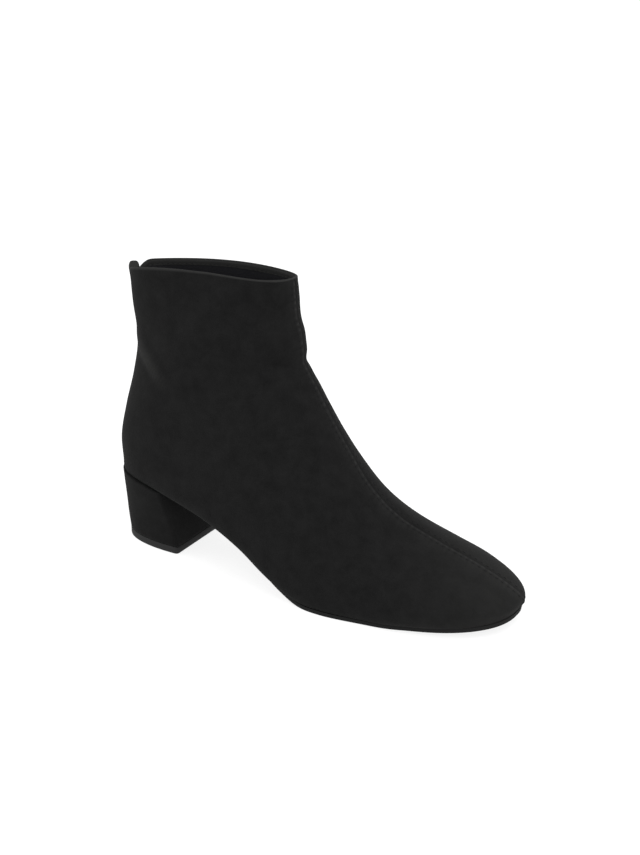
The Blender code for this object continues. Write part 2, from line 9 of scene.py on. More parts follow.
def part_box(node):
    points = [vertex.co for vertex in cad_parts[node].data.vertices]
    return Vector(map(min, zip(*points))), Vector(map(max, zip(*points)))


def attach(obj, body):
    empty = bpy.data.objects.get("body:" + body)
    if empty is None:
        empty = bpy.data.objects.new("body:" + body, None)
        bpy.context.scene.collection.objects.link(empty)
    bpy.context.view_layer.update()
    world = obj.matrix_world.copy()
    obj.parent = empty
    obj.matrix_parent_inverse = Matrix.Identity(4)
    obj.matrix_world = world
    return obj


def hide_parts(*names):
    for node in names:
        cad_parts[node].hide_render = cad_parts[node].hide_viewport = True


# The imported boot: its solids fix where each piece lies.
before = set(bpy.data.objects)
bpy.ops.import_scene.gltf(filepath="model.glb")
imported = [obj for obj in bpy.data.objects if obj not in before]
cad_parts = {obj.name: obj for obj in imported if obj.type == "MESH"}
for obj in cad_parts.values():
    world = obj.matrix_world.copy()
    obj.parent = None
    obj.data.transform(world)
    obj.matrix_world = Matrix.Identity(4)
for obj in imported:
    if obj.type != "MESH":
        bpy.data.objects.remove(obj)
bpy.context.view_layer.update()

# Upper: two quarters of black suede, a buffed split hide 1.2 mm thick, sewn together down the centre
# front and pulled over the last. The edges are folded in at the collar and turned under at the sole.
# Sizes are in millimetres on the last: x from the back of the heel, y to the wearer's left, z up.
MM = 0.001
LENGTH = 239.5
SUEDE = 1.2
TOE_START = 168.0
TOE_POWER = 2.3
FEATHER_ROLL = 9.0
LEAN_WEIGHT = 0.9
LEAST_REACH = 0.02

# A row for each section from the toe to the collar, with the same columns as the solid's own table
SECTION_COLUMNS = ("ridge_x", "ridge_z", "lean", "outer", "inner", "belly",
                   "crown_out", "crown_in", "under", "tuck", "lift", "swing")
SECTION_ROWS = {
    "toe_tip":     (239.5, 11.4, 33.0, 41.5, 38.0, 0.60, 2.10, 1.90, 2.40, 2.0, 0.0, 1.0),
    "toe_front":   (238.4, 14.8, 20.0, 41.5, 38.0, 0.61, 2.10, 1.90, 2.40, 2.4, 0.0, 1.0),
    "toe_cap":     (230.0, 20.0, 12.5, 41.5, 38.0, 0.62, 2.05, 1.85, 2.40, 3.0, 0.0, 0.9),
    "toe_box":     (214.0, 27.1, 7.0, 41.8, 38.5, 0.64, 2.00, 1.80, 2.40, 4.2, 0.0, 0.7),
    "tread_front": (195.0, 33.6, 3.9, 42.2, 39.5, 0.67, 1.90, 1.75, 2.40, 5.2, 0.0, 0.5),
    "ball":        (172.5, 42.8, 2.2, 42.6, 40.0, 0.70, 1.80, 1.80, 2.40, 4.0, 0.0, 0.2),
    "ball_back":   (156.4, 55.4, 8.7, 43.2, 38.5, 0.72, 1.75, 1.80, 2.40, 2.4, 0.0, 0.0),
    "waist":       (141.0, 76.0, 15.3, 41.4, 35.0, 0.72, 1.75, 1.80, 2.40, 4.0, 0.0, 0.0),
    "instep":      (128.8, 95.0, 23.1, 36.6, 32.0, 0.70, 1.75, 1.82, 2.40, 4.5, 0.0, 0.0),
    "ankle_front": (119.4, 112.0, 30.1, 33.2, 30.5, 0.67, 1.80, 1.85, 2.40, 4.0, 0.0, 0.0),
    "throat":      (114.3, 125.5, 36.1, 31.0, 29.5, 0.63, 1.85, 1.90, 2.40, 4.0, 0.0, 0.0),
    "heel_mid":    (112.2, 134.0, 42.0, 29.3, 28.8, 0.60, 1.90, 1.95, 2.40, 3.0, 0.0, 0.0),
    "heel_round":  (110.9, 139.0, 46.1, 28.3, 28.2, 0.58, 2.00, 2.05, 2.35, 1.2, 0.0, 0.0),
    "heel_corner": (110.4, 143.0, 48.03, 27.6, 27.6, 0.56, 2.10, 2.10, 2.30, 0.0, 0.0, 0.0),
    "counter":     (110.1, 146.5, 50.5, 26.8, 26.8, 0.55, 2.15, 2.15, 2.25, 0.0, 0.0, 0.0),
    "counter_top": (109.8, 150.0, 55.9, 25.5, 25.5, 0.53, 2.20, 2.20, 2.25, 0.0, 0.0, 0.0),
    "achilles":    (109.5, 153.0, 62.1, 24.0, 24.0, 0.52, 2.25, 2.20, 2.30, 0.0, 0.0, 0.0),
    "shaft":       (109.3, 155.5, 69.3, 22.5, 22.5, 0.50, 2.40, 2.20, 2.30, 0.0, 0.3, 0.0),
    "collar_band": (109.1, 157.8, 79.8, 21.0, 21.5, 0.50, 3.10, 2.20, 2.40, 0.0, 1.2, 0.0),
    "collar":      (109.0, 159.6, 90.0, 20.0, 21.0, 0.50, 4.20, 2.20, 2.60, 0.0, 1.7, 0.0),
}
SOLE_COLUMNS = ("x", "z")
SOLE_ROWS = ((237.0, 7.5), (234.0, 7.0), (226.0, 6.1), (211.0, 4.6), (193.0, 3.0), (178.0, 2.0),
             (145.0, 2.0), (134.0, 2.6), (122.0, 6.3), (110.0, 11.6), (96.0, 19.2), (71.0, 29.9),
             (48.0, 36.0), (27.0, 40.4), (11.0, 43.0), (0.8, 44.4))
BACK_COLUMNS = ("x", "z")
BACK_ROWS = ((0.8, 44.4), (-0.6, 56.0), (3.6, 78.0), (10.2, 100.0), (13.2, 119.0), (10.8, 140.0),
             (10.0, 159.6))
PATH_STEPS = 400

# The collar's rim dips to the zip, over a reach to each side and over the top rows, and rises between
# the front and the back. On the outer side the dip is longer, and the rise higher and further back.
DIP = 3.6
DIP_REACH = 10.0
DIP_REACH_OUT = 24.0
DIP_ROWS = 2.0
LIFT_POWER = 1.5
LIFT_OUT = 1.2
LIFT_SKEW_OUT = 1.1

# The last's zero in the frame, read from the heel tip, whose back edge lies 1.9 mm along the last
TIP_BACK = 1.9
tip_low, tip_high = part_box("heel_tip")
STAND = np.array([tip_low.x / MM - TIP_BACK, 0.5 * (tip_low.y + tip_high.y) / MM, 0.0])


def columns(names, rows):
    """Named columns of a table as arrays."""
    return dict(zip(names, np.array(list(rows), float).T))


def smooth_curve(knots, values, wanted):
    """Smooth curve through the values, its slopes taken from the neighbours and level at each turn."""
    step = np.diff(knots)
    rise = np.diff(values) / step
    slope = (rise[:-1] * step[1:] + rise[1:] * step[:-1]) / (step[1:] + step[:-1])
    slope = np.where(rise[:-1] * rise[1:] > 0, slope, 0)
    slope = np.concatenate([rise[:1], slope, rise[-1:]])
    i = np.clip(np.searchsorted(knots, wanted, side="right") - 1, 0, len(step) - 1)
    t = (wanted - knots[i]) / step[i]
    level = values[i] * (1 + 2 * t) * (1 - t) ** 2 + values[i + 1] * t * t * (3 - 2 * t)
    return level + step[i] * t * (1 - t) * (slope[i] * (1 - t) - slope[i + 1] * t)


SECTION = columns(SECTION_COLUMNS, SECTION_ROWS.values())
HEEL_ROW = list(SECTION_ROWS).index("heel_corner")
LAST_ROW = len(SECTION_ROWS) - 1
SOLE = columns(SOLE_COLUMNS, SOLE_ROWS)
BACK = columns(BACK_COLUMNS, BACK_ROWS)
BACK_X = BACK["x"][0]


def sole_height(x):
    """Height of the bottom edge of the upper at a place along the foot."""
    return smooth_curve(SOLE["x"][::-1], SOLE["z"][::-1], np.asarray(x, float))


def back_place(z):
    """Place of the centre back line at a height."""
    return smooth_curve(BACK["z"], BACK["x"], np.asarray(z, float))


path_x = np.linspace(SOLE["x"][0], SOLE["x"][-1], PATH_STEPS)
path_z = np.linspace(BACK["z"][0], BACK["z"][-1], PATH_STEPS)[1:]
PATH_X = np.concatenate([path_x, back_place(path_z)])
PATH_Z = np.concatenate([sole_height(path_x), path_z])
travel = np.hypot(np.diff(SECTION["ridge_x"]), np.diff(SECTION["ridge_z"]))
travel = travel + LEAN_WEIGHT * np.abs(np.diff(SECTION["lean"]))
ROW_PLACES = np.concatenate([[0.0], np.cumsum(travel)])


def sections(rows):
    """Every column of the section table at each row place, with the base point of each section."""
    wanted = np.interp(rows, np.arange(len(ROW_PLACES)), ROW_PLACES)
    row = {name: smooth_curve(ROW_PLACES, values, wanted) for name, values in SECTION.items()}
    order = np.arange(len(PATH_X))
    base = []
    for ridge_x, ridge_z, lean in zip(row["ridge_x"], row["ridge_z"], row["lean"]):
        angle = np.degrees(np.arctan2(ridge_x - PATH_X, ridge_z - PATH_Z))
        met = np.interp(lean, np.maximum.accumulate(angle), order)
        base.append((np.interp(met, order, PATH_X), np.interp(met, order, PATH_Z)))
    row["base_x"], row["base_z"] = np.array(base).T
    return row


def taper(x):
    """One along the foot, rounding down to nothing at the tip of the toe."""
    run = np.clip((x - TOE_START) / (LENGTH - TOE_START), 0, 1)
    return (1 - run ** TOE_POWER) ** (1 / TOE_POWER)


def half_shell(rows, steps, side):
    """Outer face of one half: steps run from 0 at the centre front to 1 at the bottom edge or the back."""
    row = sections(rows)
    half = row["outer"] if side < 0 else row["inner"]
    width = (half * taper(row["ridge_x"]))[:, None]
    crown = (row["crown_out"] if side < 0 else row["crown_in"])[:, None]
    belly, under = row["belly"][:, None], row["under"][:, None]
    run_x = (row["base_x"] - row["ridge_x"])[:, None]
    run_z = (row["base_z"] - row["ridge_z"])[:, None]
    upper_turn = np.clip(steps / 0.5, 0, 1) * math.pi / 2
    lower_turn = np.clip(steps / 0.5 - 1, 0, 1) * math.pi / 2
    along = np.where(steps <= 0.5, belly * (1 - np.cos(upper_turn) ** (2 / crown)),
                     belly + (1 - belly) * np.sin(lower_turn) ** (2 / under))
    reach = np.clip(-run_x / (row["ridge_x"] - BACK_X)[:, None], LEAST_REACH, 1)
    reach = np.where((rows >= HEEL_ROW)[:, None], 1.0, reach)
    closing = np.clip((along - belly) / (1 / reach - belly), 0, 1)
    low = width * (1 - closing ** under) ** (1 / under)
    near_edge = np.clip(1 - (1 - along) * np.hypot(run_x, run_z) / FEATHER_ROLL, 0, 1)
    share = (row["tuck"] / half)[:, None]
    low = low * (1 - share * (1 - np.sqrt(1 - near_edge ** 2)))
    out = np.where(steps <= 0.5, width * np.sin(upper_turn) ** (2 / crown), low)
    x = row["ridge_x"][:, None] + along * run_x
    z = row["ridge_z"][:, None] + along * run_z
    lift, skew, reach = (LIFT_OUT, LIFT_SKEW_OUT, DIP_REACH_OUT) if side < 0 else (1.0, 1.0, DIP_REACH)
    z = z + lift * row["lift"][:, None] * np.sin(math.pi * np.clip(along, 0, 1) ** skew) ** LIFT_POWER
    below_rim = np.clip(1 - (LAST_ROW - rows) / DIP_ROWS, 0, 1)[:, None]
    to_back = np.where(steps > 0.5, np.clip(1 - out / reach, 0, 1), 0)
    z = z - DIP * below_rim ** 2 * to_back * to_back * (3 - 2 * to_back)
    return np.stack([x, side * out + row["swing"][:, None], z], -1), width, out


# The slit for the zip at the centre back, which parts the two quarters above its foot
ZIP_FOOT = 66.0
ZIP_HALF = 2.4
SLIT_FADE = 8.0


def shell(rows, steps):
    """Grid of the upper from the right-hand base over the seam to the left-hand base, with normals."""
    near, near_width, near_out = half_shell(rows, steps, -1)
    far, far_width, far_out = half_shell(rows, steps, 1)
    grid = np.concatenate([near[:, ::-1], far[:, 1:]], 1)
    middle = steps.shape[1] - 1
    normal = np.cross(np.gradient(grid, axis=1), np.gradient(grid, axis=0))
    closed = rows >= HEEL_ROW
    normal[0, :, 1] = 0
    normal[closed, 0, 1] = 0
    normal[closed, -1, 1] = 0
    normal[:, middle, 1] = 0
    normal[0] = normal[0] + normal[0, ::-1]
    normal = normal / np.maximum(np.linalg.norm(normal, axis=2, keepdims=True), 1e-12)
    opened = np.where(closed, grid[:, 0, 2], 0) > ZIP_FOOT + 0.01
    for side, out, width, cols in ((-1, near_out, near_width, slice(middle, None, -1)),
                                   (1, far_out, far_width, slice(middle, None))):
        spread = ZIP_HALF * (1 - out / np.maximum(width, 1e-6)) ** SLIT_FADE
        grid[opened, cols, 1] += side * np.where(steps > 0.5, spread, 0)[opened]
    return grid, normal, opened


# Centre front seam: the allowances under it lift the suede on both sides of the join, less on the far
# side, and a row of stitches on each side pulls it down again. Heights across the seam, and the marks
# in millimetres where its columns lie.
SEAM_COLUMNS = ("from_centre", "rise")
SEAM_ROWS = ((0.0, -0.05), (0.5, 0.05), (1.2, 0.22), (2.0, 0.28), (2.9, 0.12), (3.8, 0.05), (5.2, 0.0))
SEAM_MARKS = (0.2, 0.45, 0.8, 1.3, 1.7, 2.1, 2.5, 2.9, 3.3, 3.8, 4.4, 5.2)
MARK_SHARE = 0.1
FAR_LIP = 0.4
SEAM_FADE = 5.0

# The stitches pull unevenly: how much they pucker the lips, and how the pull drifts and swells along it
SEAM_STITCH = 2.9
STITCH_PITCH = 3.4
STITCH_PULL = 0.08
STITCH_PULL_HALF = 0.9
PUCKER = 0.9
PUCKER_DRIFT = 0.8
PUCKER_DRIFT_LENGTH = 17.0
PUCKER_MEAN = 0.65
PUCKER_SWELL = 0.35
PUCKER_SWELL_LENGTH = 11.0

# Soft creases set by the last coming out and by the boot being pulled on. A row for each trough or ridge:
# its two ends seen from the side as x0, z0, x1 and z1, its half width, its height, the share of its length
# where it peaks, and its side, which is -1 for the outer side, 1 for the inner and 0 for both.
CREASE_ROWS = {
    "throat_fold":        (127.0, 118.8, 92.0, 116.5, 3.6, -1.6, 0.30, 0),
    "throat_hollow":      (127.0, 112.5, 88.0, 112.5, 6.0, -1.0, 0.30, 0),
    "throat_lip":         (125.0, 131.0, 92.0, 134.0, 6.5, 0.9, 0.30, 0),
    "achilles_ridge":     (14.0, 126.0, 47.0, 98.0, 2.8, 1.2, 0.35, -1),
    "achilles_trough":    (21.0, 131.0, 54.0, 104.0, 5.5, -0.8, 0.35, -1),
    "counter_ridge":      (30.0, 102.0, 43.0, 82.0, 4.0, 0.6, 0.40, -1),
    "achilles_ridge_in":  (13.0, 122.0, 40.0, 92.0, 3.0, 0.9, 0.35, 1),
    "achilles_hollow_in": (24.0, 121.0, 48.0, 94.0, 6.0, -0.7, 0.40, 1),
    "ankle_hollow":       (58.0, 112.0, 92.0, 98.0, 15.0, -0.7, 0.50, -1),
    "ankle_hollow_in":    (56.0, 110.0, 90.0, 98.0, 15.0, -0.7, 0.50, 1),
    "shaft_swell":        (52.0, 141.0, 88.0, 138.0, 13.0, 0.5, 0.50, -1),
    "vamp_hollow":        (122.0, 70.0, 150.0, 36.0, 9.0, -0.4, 0.50, -1),
    "vamp_swell_in":      (138.0, 66.0, 220.0, 23.0, 9.0, 0.9, 0.50, 1),
}
# The crease ridges that light falls along, which get a painted highlight
HIGHLIT_CREASES = ("achilles_ridge", "achilles_ridge_in")
CREASE_SIDE_FADE = 6.0

# How finely the suede is divided
TOE_STEPS = 18
FOOT_AND_SHAFT_STEPS = 290
SHAFT_CROWDING = 1.4
HALF_STEPS = 78
EDGE_CROWDING = 1.3
ROLL_STEPS = 4


def fine_rows(count):
    """Row places close together round the tip of the toe and up the shaft, one at the zip's foot."""
    toe = 1 - np.cos(np.linspace(0, math.pi / 2, TOE_STEPS + 1))
    places = ROW_PLACES + (SHAFT_CROWDING - 1) * np.clip(ROW_PLACES - ROW_PLACES[HEEL_ROW], 0, None)
    even = np.linspace(places[1], places[-1], count + 1)[1:]
    rows = np.concatenate([toe, np.interp(even, places, np.arange(len(places)))])
    rows[np.argmin(np.abs(rows - back_rows(ZIP_FOOT)))] = back_rows(ZIP_FOOT)
    return rows


def back_rows(heights):
    """Row places whose sections meet the centre back line at these heights."""
    fine = np.linspace(HEEL_ROW, LAST_ROW, PATH_STEPS)
    return np.interp(heights, sections(fine)["base_z"], fine)


def seam_steps(rows, count):
    """Steps from the seam to the base, the first of them at the seam's marks in millimetres."""
    row = sections(rows)
    width = row["outer"] * taper(row["ridge_x"])
    marks = [np.zeros(len(rows))]
    for reach in SEAM_MARKS:
        part = np.minimum(reach / np.maximum(width, 1e-6), MARK_SHARE * reach)
        marks.append(np.arcsin(part ** (row["crown_out"] / 2)) / math.pi)
    marks = np.stack(marks, 1)
    rest = 1 - (1 - np.linspace(0, 1, count - len(SEAM_MARKS) + 1)[1:]) ** EDGE_CROWDING
    return np.concatenate([marks, marks[:, -1:] + (1 - marks[:, -1:]) * rest[None, :]], 1)


def crease_rise(grid, names):
    """Height of the named creases at each point of the upper."""
    rise = np.zeros(grid.shape[:2])
    for x0, z0, x1, z1, half, height, peak, side in (CREASE_ROWS[name] for name in names):
        run = np.array([x1 - x0, z1 - z0])
        length = np.hypot(*run)
        from_start = np.stack([grid[:, :, 0] - x0, grid[:, :, 2] - z0], -1)
        t = np.interp(from_start @ run / length ** 2, (0, peak, 1), (0, 0.5, 1))
        across = (from_start[:, :, 0] * run[1] - from_start[:, :, 1] * run[0]) / length
        on_side = np.clip(side * grid[:, :, 1] / CREASE_SIDE_FADE, 0, 1) if side else 1.0
        rise = rise + height * np.exp(-(across / half) ** 2) * np.sin(math.pi * t) * on_side
    return rise


def run_along(line):
    """Way along a line of points, from its first point."""
    return np.concatenate([[0.0], np.cumsum(np.linalg.norm(np.diff(line, axis=0), axis=1))])


def seam_pucker(rows):
    """Way along the centre front from the tip of the toe, and the uneven pull of the stitches there."""
    row = sections(rows)
    run = run_along(np.stack([row["ridge_x"], row["ridge_z"]], 1))[:, None]
    drift = PUCKER_DRIFT * np.sin(2 * math.pi * run / PUCKER_DRIFT_LENGTH)
    swell = PUCKER_MEAN + PUCKER_SWELL * np.sin(2 * math.pi * run / PUCKER_SWELL_LENGTH)
    return run, swell * np.cos(2 * math.pi * run / STITCH_PITCH + drift)


def seam_rise(grid, rows):
    """Height of the front seam's two lips, groove and stitch rows, puckered at each stitch."""
    row = sections(rows)
    middle = grid.shape[1] // 2
    near = np.abs(np.arange(grid.shape[1]) - middle) <= len(SEAM_MARKS)
    beyond = grid[:, :, 1] - row["swing"][:, None]
    from_centre = np.abs(beyond)
    marks, heights = columns(SEAM_COLUMNS, SEAM_ROWS).values()
    rise = smooth_curve(marks, heights, np.clip(from_centre, 0, marks[-1]))
    rise = rise * np.where(beyond > 0, FAR_LIP, 1.0)
    run, pucker = seam_pucker(rows)
    pull = STITCH_PULL * np.exp(-((from_centre - SEAM_STITCH) / STITCH_PULL_HALF) ** 2)
    rise = rise * (1 + PUCKER * pucker) - pucker * pull
    return rise * near[None, :] * np.clip(run / SEAM_FADE, 0, 1)


def placed(points):
    """Points on the last in millimetres to the frame's metres."""
    return (np.asarray(points, float) + STAND) * MM


def grid_quads(index):
    """Quads of a grid of point numbers."""
    quads = np.stack([index[:-1, :-1], index[:-1, 1:], index[1:, 1:], index[1:, :-1]], -1)
    return quads.reshape(-1, 4)


def thick_wall(outer, inner, index=None):
    """Closed wall between an outer and an inner grid that share their numbering, by default a plain one."""
    if index is None:
        index = np.arange(outer[..., 0].size).reshape(outer.shape[:2])
    count = index.max() + 1
    points = np.zeros((2 * count, 3))
    points[index.ravel()] = outer.reshape(-1, 3)
    points[index.ravel() + count] = inner.reshape(-1, 3)
    front = grid_quads(index)
    sides = np.concatenate([np.stack([front[:, k], front[:, (k + 1) % 4]], 1) for k in range(4)])
    known = set(map(tuple, sides.tolist()))
    rim = [(b, a, a + count, b + count) for a, b in known if a != b and (b, a) not in known]
    return points, np.concatenate([front, front[:, ::-1] + count, np.array(sorted(rim))])


def upper_index(shape, rows, opened):
    """Point numbers of an upper's grid, joined down the toe and up the closed part of the back."""
    index = np.arange(shape[0] * shape[1]).reshape(shape)
    middle = shape[1] // 2
    index[0, middle + 1:] = index[0, :middle][::-1]
    joined = np.zeros(shape[0], bool)
    joined[:len(rows)] = (rows >= HEEL_ROW) & ~opened
    index[joined, -1] = index[joined, 0]
    return np.unique(index, return_inverse=True)[1].reshape(shape)


def add_piece(name, points, faces, material, slot, crisp=180.0, shades=None):
    """One piece of the boot from points on the last, rounded where faces meet flatter than crisp degrees."""
    mesh = bpy.data.meshes.new(name)
    mesh.from_pydata(placed(points).tolist(), [], faces if isinstance(faces, list) else faces.tolist())
    for title, values in (shades or {}).items():
        mesh.attributes.new(title, "FLOAT", "POINT").data.foreach_set("value", values.astype(np.float32))
    build = bmesh.new()
    build.from_mesh(mesh)
    bmesh.ops.remove_doubles(build, verts=build.verts, dist=0.002 * MM)
    bmesh.ops.recalc_face_normals(build, faces=build.faces)
    build.to_mesh(mesh)
    build.free()
    mesh.shade_smooth()
    mesh.set_sharp_from_angle(angle=math.radians(crisp))
    mesh.materials.append(material)
    piece = bpy.data.objects.new(name, mesh)
    bpy.context.scene.collection.objects.link(piece)
    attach(piece, "root")
    return piece


def linear(code):
    """A colour given as an sRGB hex code, in linear light."""
    parts = [int(code[k:k + 2], 16) / 255 for k in (1, 3, 5)]
    return tuple(p / 12.92 if p <= 0.04045 else ((p + 0.055) / 1.055) ** 2.4 for p in parts) + (1.0,)


def add_node(material, kind, sockets=None, **settings):
    """Adds a node with its settings; a socket takes a value or another node's output."""
    node = material.node_tree.nodes.new(kind)
    for name, value in settings.items():
        setattr(node, name, value)
    for socket, value in (sockets or {}).items():
        if isinstance(value, bpy.types.NodeSocket):
            material.node_tree.links.new(value, node.inputs[socket])
        else:
            node.inputs[socket].default_value = value
    return node


def new_material(name):
    """An empty material for nodes."""
    material = bpy.data.materials.new(name)
    material.use_nodes = True
    material.node_tree.nodes.clear()
    return material


def per_mm(size):
    """Scale of a pattern whose parts are this many millimetres apart, in the frame's metres."""
    return 1 / (size * MM)


def suede(name, dark, light, edge):
    """Black suede: a buffed nap that drinks light face on and shows brushed patches; its pale attribute mixes
    in the edge tone as painted highlight.
    """
    material = new_material(name)
    place = add_node(material, "ShaderNodeTexCoord").outputs["Object"]
    patches = add_node(material, "ShaderNodeTexNoise", {"Vector": place, "Scale": per_mm(8), "Detail": 5.0,
                                                        "Roughness": 0.68, "Distortion": 0.15})
    # Real fibres are about 0.1 mm apart: the fine nap is drawn at 0.9 mm so that it shows
    fibres = add_node(material, "ShaderNodeTexNoise", {"Vector": place, "Scale": per_mm(0.9), "Detail": 3.0,
                                                       "Roughness": 0.7})
    # Painted highlight: how much of the pale edge tone is mixed in at each point
    painted_light = add_node(material, "ShaderNodeAttribute", attribute_name="pale")
    nap = add_node(material, "ShaderNodeMapRange", {"Value": patches.outputs["Fac"], "From Min": 0.3,
                                                    "From Max": 0.7})
    grain = add_node(material, "ShaderNodeMath", {0: fibres.outputs["Fac"], 1: 0.8,
                                                  2: nap.outputs["Result"]}, operation="MULTIPLY_ADD")
    level = add_node(material, "ShaderNodeMath", {0: grain.outputs["Value"], 1: 0.55}, operation="MULTIPLY",
                     use_clamp=True)
    field = add_node(material, "ShaderNodeMix", {"Factor": level.outputs["Value"], 6: linear(dark),
                                                 7: linear(light)}, data_type="RGBA")
    colour = add_node(material, "ShaderNodeMix", {"Factor": painted_light.outputs["Fac"], 6: field.outputs[2],
                                                  7: linear(edge)}, data_type="RGBA")
    low = add_node(material, "ShaderNodeBump", {"Height": patches.outputs["Fac"], "Strength": 0.25,
                                                "Distance": 0.6 * MM})
    fine = add_node(material, "ShaderNodeBump", {"Height": fibres.outputs["Fac"], "Strength": 0.35,
                                                 "Distance": 0.25 * MM, "Normal": low.outputs["Normal"]})
    shader = add_node(material, "ShaderNodeBsdfPrincipled", {
        "Base Color": colour.outputs[2], "Roughness": 0.95, "IOR": 1.45, "Specular IOR Level": 0.08,
        "Sheen Weight": 0.05, "Sheen Roughness": 0.45, "Sheen Tint": linear("#9a9a98"),
        "Normal": fine.outputs["Normal"]})
    add_node(material, "ShaderNodeOutputMaterial", {"Surface": shader.outputs["BSDF"]})
    return material


black_suede = suede("black_suede", "#0d0d0d", "#1a1a1a", "#373736")
rows = fine_rows(FOOT_AND_SHAFT_STEPS)
grid, normal, opened = shell(rows, seam_steps(rows, HALF_STEPS))
form = grid + normal * crease_rise(grid, CREASE_ROWS)[:, :, None]
face = form + normal * seam_rise(grid, rows)[:, :, None]
back = form - normal * SUEDE
turns = np.linspace(0, math.pi / 2, ROLL_STEPS + 1)[1:, None, None]
half_edge = 0.5 * (face[-1] - back[-1])
fold = np.array([0.0, 0.0, 0.5 * SUEDE])
face_roll = back[-1] + half_edge * (1 + np.cos(turns)) + fold * np.sin(turns)
back_roll = back[-1] + half_edge * (1 - np.cos(turns)) + fold * np.sin(turns)
outer = np.concatenate([face, face_roll])
inner = np.concatenate([back, back_roll])
index = upper_index(outer.shape[:2], rows, opened)
points, faces = thick_wall(outer, inner, index)

# Painted highlights, mixed in as the suede's pale tone where light falls: on the folded collar edge, the lips
# of the seam, the ridges of the creases and a little on the toe top
RIM_HIGHLIGHT = 0.42
SEAM_HIGHLIGHT = 0.13
FAR_LIP_HIGHLIGHT = 0.06
LIP_RISE = 0.3
LIP_LIMIT = 1.4
CREASE_HIGHLIGHT = 0.35
TOE_HIGHLIGHT = 0.12
TOE_HIGHLIGHT_START = 180.0
TOE_HIGHLIGHT_RUN = 400.0

# Painted highlight on the band of suede beside the seam that the stitches pull up, where it catches the
# light, stronger on the vamp than on the shaft
BAND_PLACE = 4.0
BAND_HALF = 2.4
BAND_COLUMNS = 24
BAND_HEIGHTS = (50.0, 110.0)
BAND_SHARES = (1.0, 0.3)
BAND_HIGHLIGHT = 0.1
BAND_MEAN = 0.6
BAND_SWELL = 0.4
pale = np.zeros(outer.shape[:2])
# Painted highlight along the folded collar edge
pale[len(rows) - 1:] = RIM_HIGHLIGHT

# A view of the rows below the folded edge: what is added to it is added to pale
below_fold = pale[:len(rows)]
from_middle = np.arange(grid.shape[1]) - grid.shape[1] // 2
lips = np.clip(seam_rise(grid, rows) / LIP_RISE, 0, LIP_LIMIT) ** 2
# Painted highlight on the lips of the seam, fainter on the far lip
below_fold += lips * np.where(from_middle < 0, SEAM_HIGHLIGHT, FAR_LIP_HIGHLIGHT)
beside_seam = (from_middle < 0) & (from_middle > -BAND_COLUMNS)
from_seam = np.abs(grid[:, :, 1] - sections(rows)["swing"][:, None])
pulled = BAND_MEAN + BAND_SWELL * seam_pucker(rows)[1]
band = np.exp(-((from_seam - BAND_PLACE) / BAND_HALF) ** 2) * pulled
# Painted highlight on the pulled-up band beside the seam
below_fold += BAND_HIGHLIGHT * band * beside_seam * np.interp(grid[:, :, 2], BAND_HEIGHTS, BAND_SHARES)
# Painted highlight on the ridges of those creases
below_fold += np.clip(crease_rise(grid, HIGHLIT_CREASES), 0, 1) * CREASE_HIGHLIGHT
# Painted highlight on the top of the toe
below_fold += np.clip((grid[:, :, 0] - TOE_HIGHLIGHT_START) / TOE_HIGHLIGHT_RUN, 0, TOE_HIGHLIGHT)
shade = np.zeros(len(points))
shade[index.ravel()] = pale.ravel()
# The inner half of the folded edge gets the same painted highlight
shade[len(points) // 2 + index[len(rows) - 1:].ravel()] = RIM_HIGHLIGHT
upper = add_piece("upper_suede", points, faces, black_suede, "suede", crisp=60.0, shades={"pale": shade})
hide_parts("upper")

# Front seam stitches: two rows of bonded black polyester thread, one on each side of the join, that
# hold the seam allowances open. Each stitch is a short rounded bar whose ends dip into their holes.
STITCH_LENGTH = 2.3
STITCH_DIP = 0.25

# The thread's radius, the share of it that a stitch is raised by, and the divisions and thin ends of a bar
THREAD = 0.2
THREAD_RISE = 0.1
BAR_RINGS = 7
BAR_SIDES = 7
BAR_END = 0.85


def bars(centres, along, facing, length, radius, dip):
    """Short rounded bars that lie on a surface, their ends dipping into it."""
    aside = np.cross(facing, along)
    t = np.linspace(-1, 1, BAR_RINGS)
    turn = np.linspace(0, 2 * math.pi, BAR_SIDES, endpoint=False)
    thick = radius * np.sqrt(1 - BAR_END * t ** 4)
    up = thick[:, None] * np.cos(turn)[None, :] - dip * t[:, None] ** 2
    out = thick[:, None] * np.sin(turn)[None, :]
    far = np.broadcast_to((0.5 * length * t)[:, None], up.shape)
    points = centres[:, None, None]
    for direction, amount in ((along, far), (facing, up), (aside, out)):
        points = points + direction[:, None, None] * amount[None, :, :, None]
    number = np.arange(points[..., 0].size).reshape(points.shape[:3])
    ring = np.concatenate([number, number[:, :, :1]], 2)
    quads = np.stack([ring[:, :-1, :-1], ring[:, :-1, 1:], ring[:, 1:, 1:], ring[:, 1:, :-1]], -1)
    ends = number[:, 0, ::-1].tolist() + number[:, -1].tolist()
    return points.reshape(-1, 3), quads.reshape(-1, 4).tolist() + ends


def spaced(line, facing, pitch, start):
    """Places at an even pitch along a line on a surface, with the line's direction and the normals there."""
    run = run_along(line)
    wanted = np.arange(start, run[-1] - 0.5 * pitch, pitch)
    found = []
    for values in (line, np.gradient(line, axis=0), facing):
        found.append(np.stack([np.interp(wanted, run, values[:, k]) for k in range(3)], 1))
    place, along, normals = found
    along = along / np.linalg.norm(along, axis=1, keepdims=True)
    normals = normals - along * np.sum(normals * along, 1, keepdims=True)
    return place, along, normals / np.linalg.norm(normals, axis=1, keepdims=True)


def joined(shapes):
    """Several meshes as one list of points and faces."""
    points = np.concatenate([shape[0] for shape in shapes])
    faces = []
    start = 0
    for shape in shapes:
        faces += [[start + v for v in face] for face in shape[1]]
        start += len(shape[0])
    return points, faces


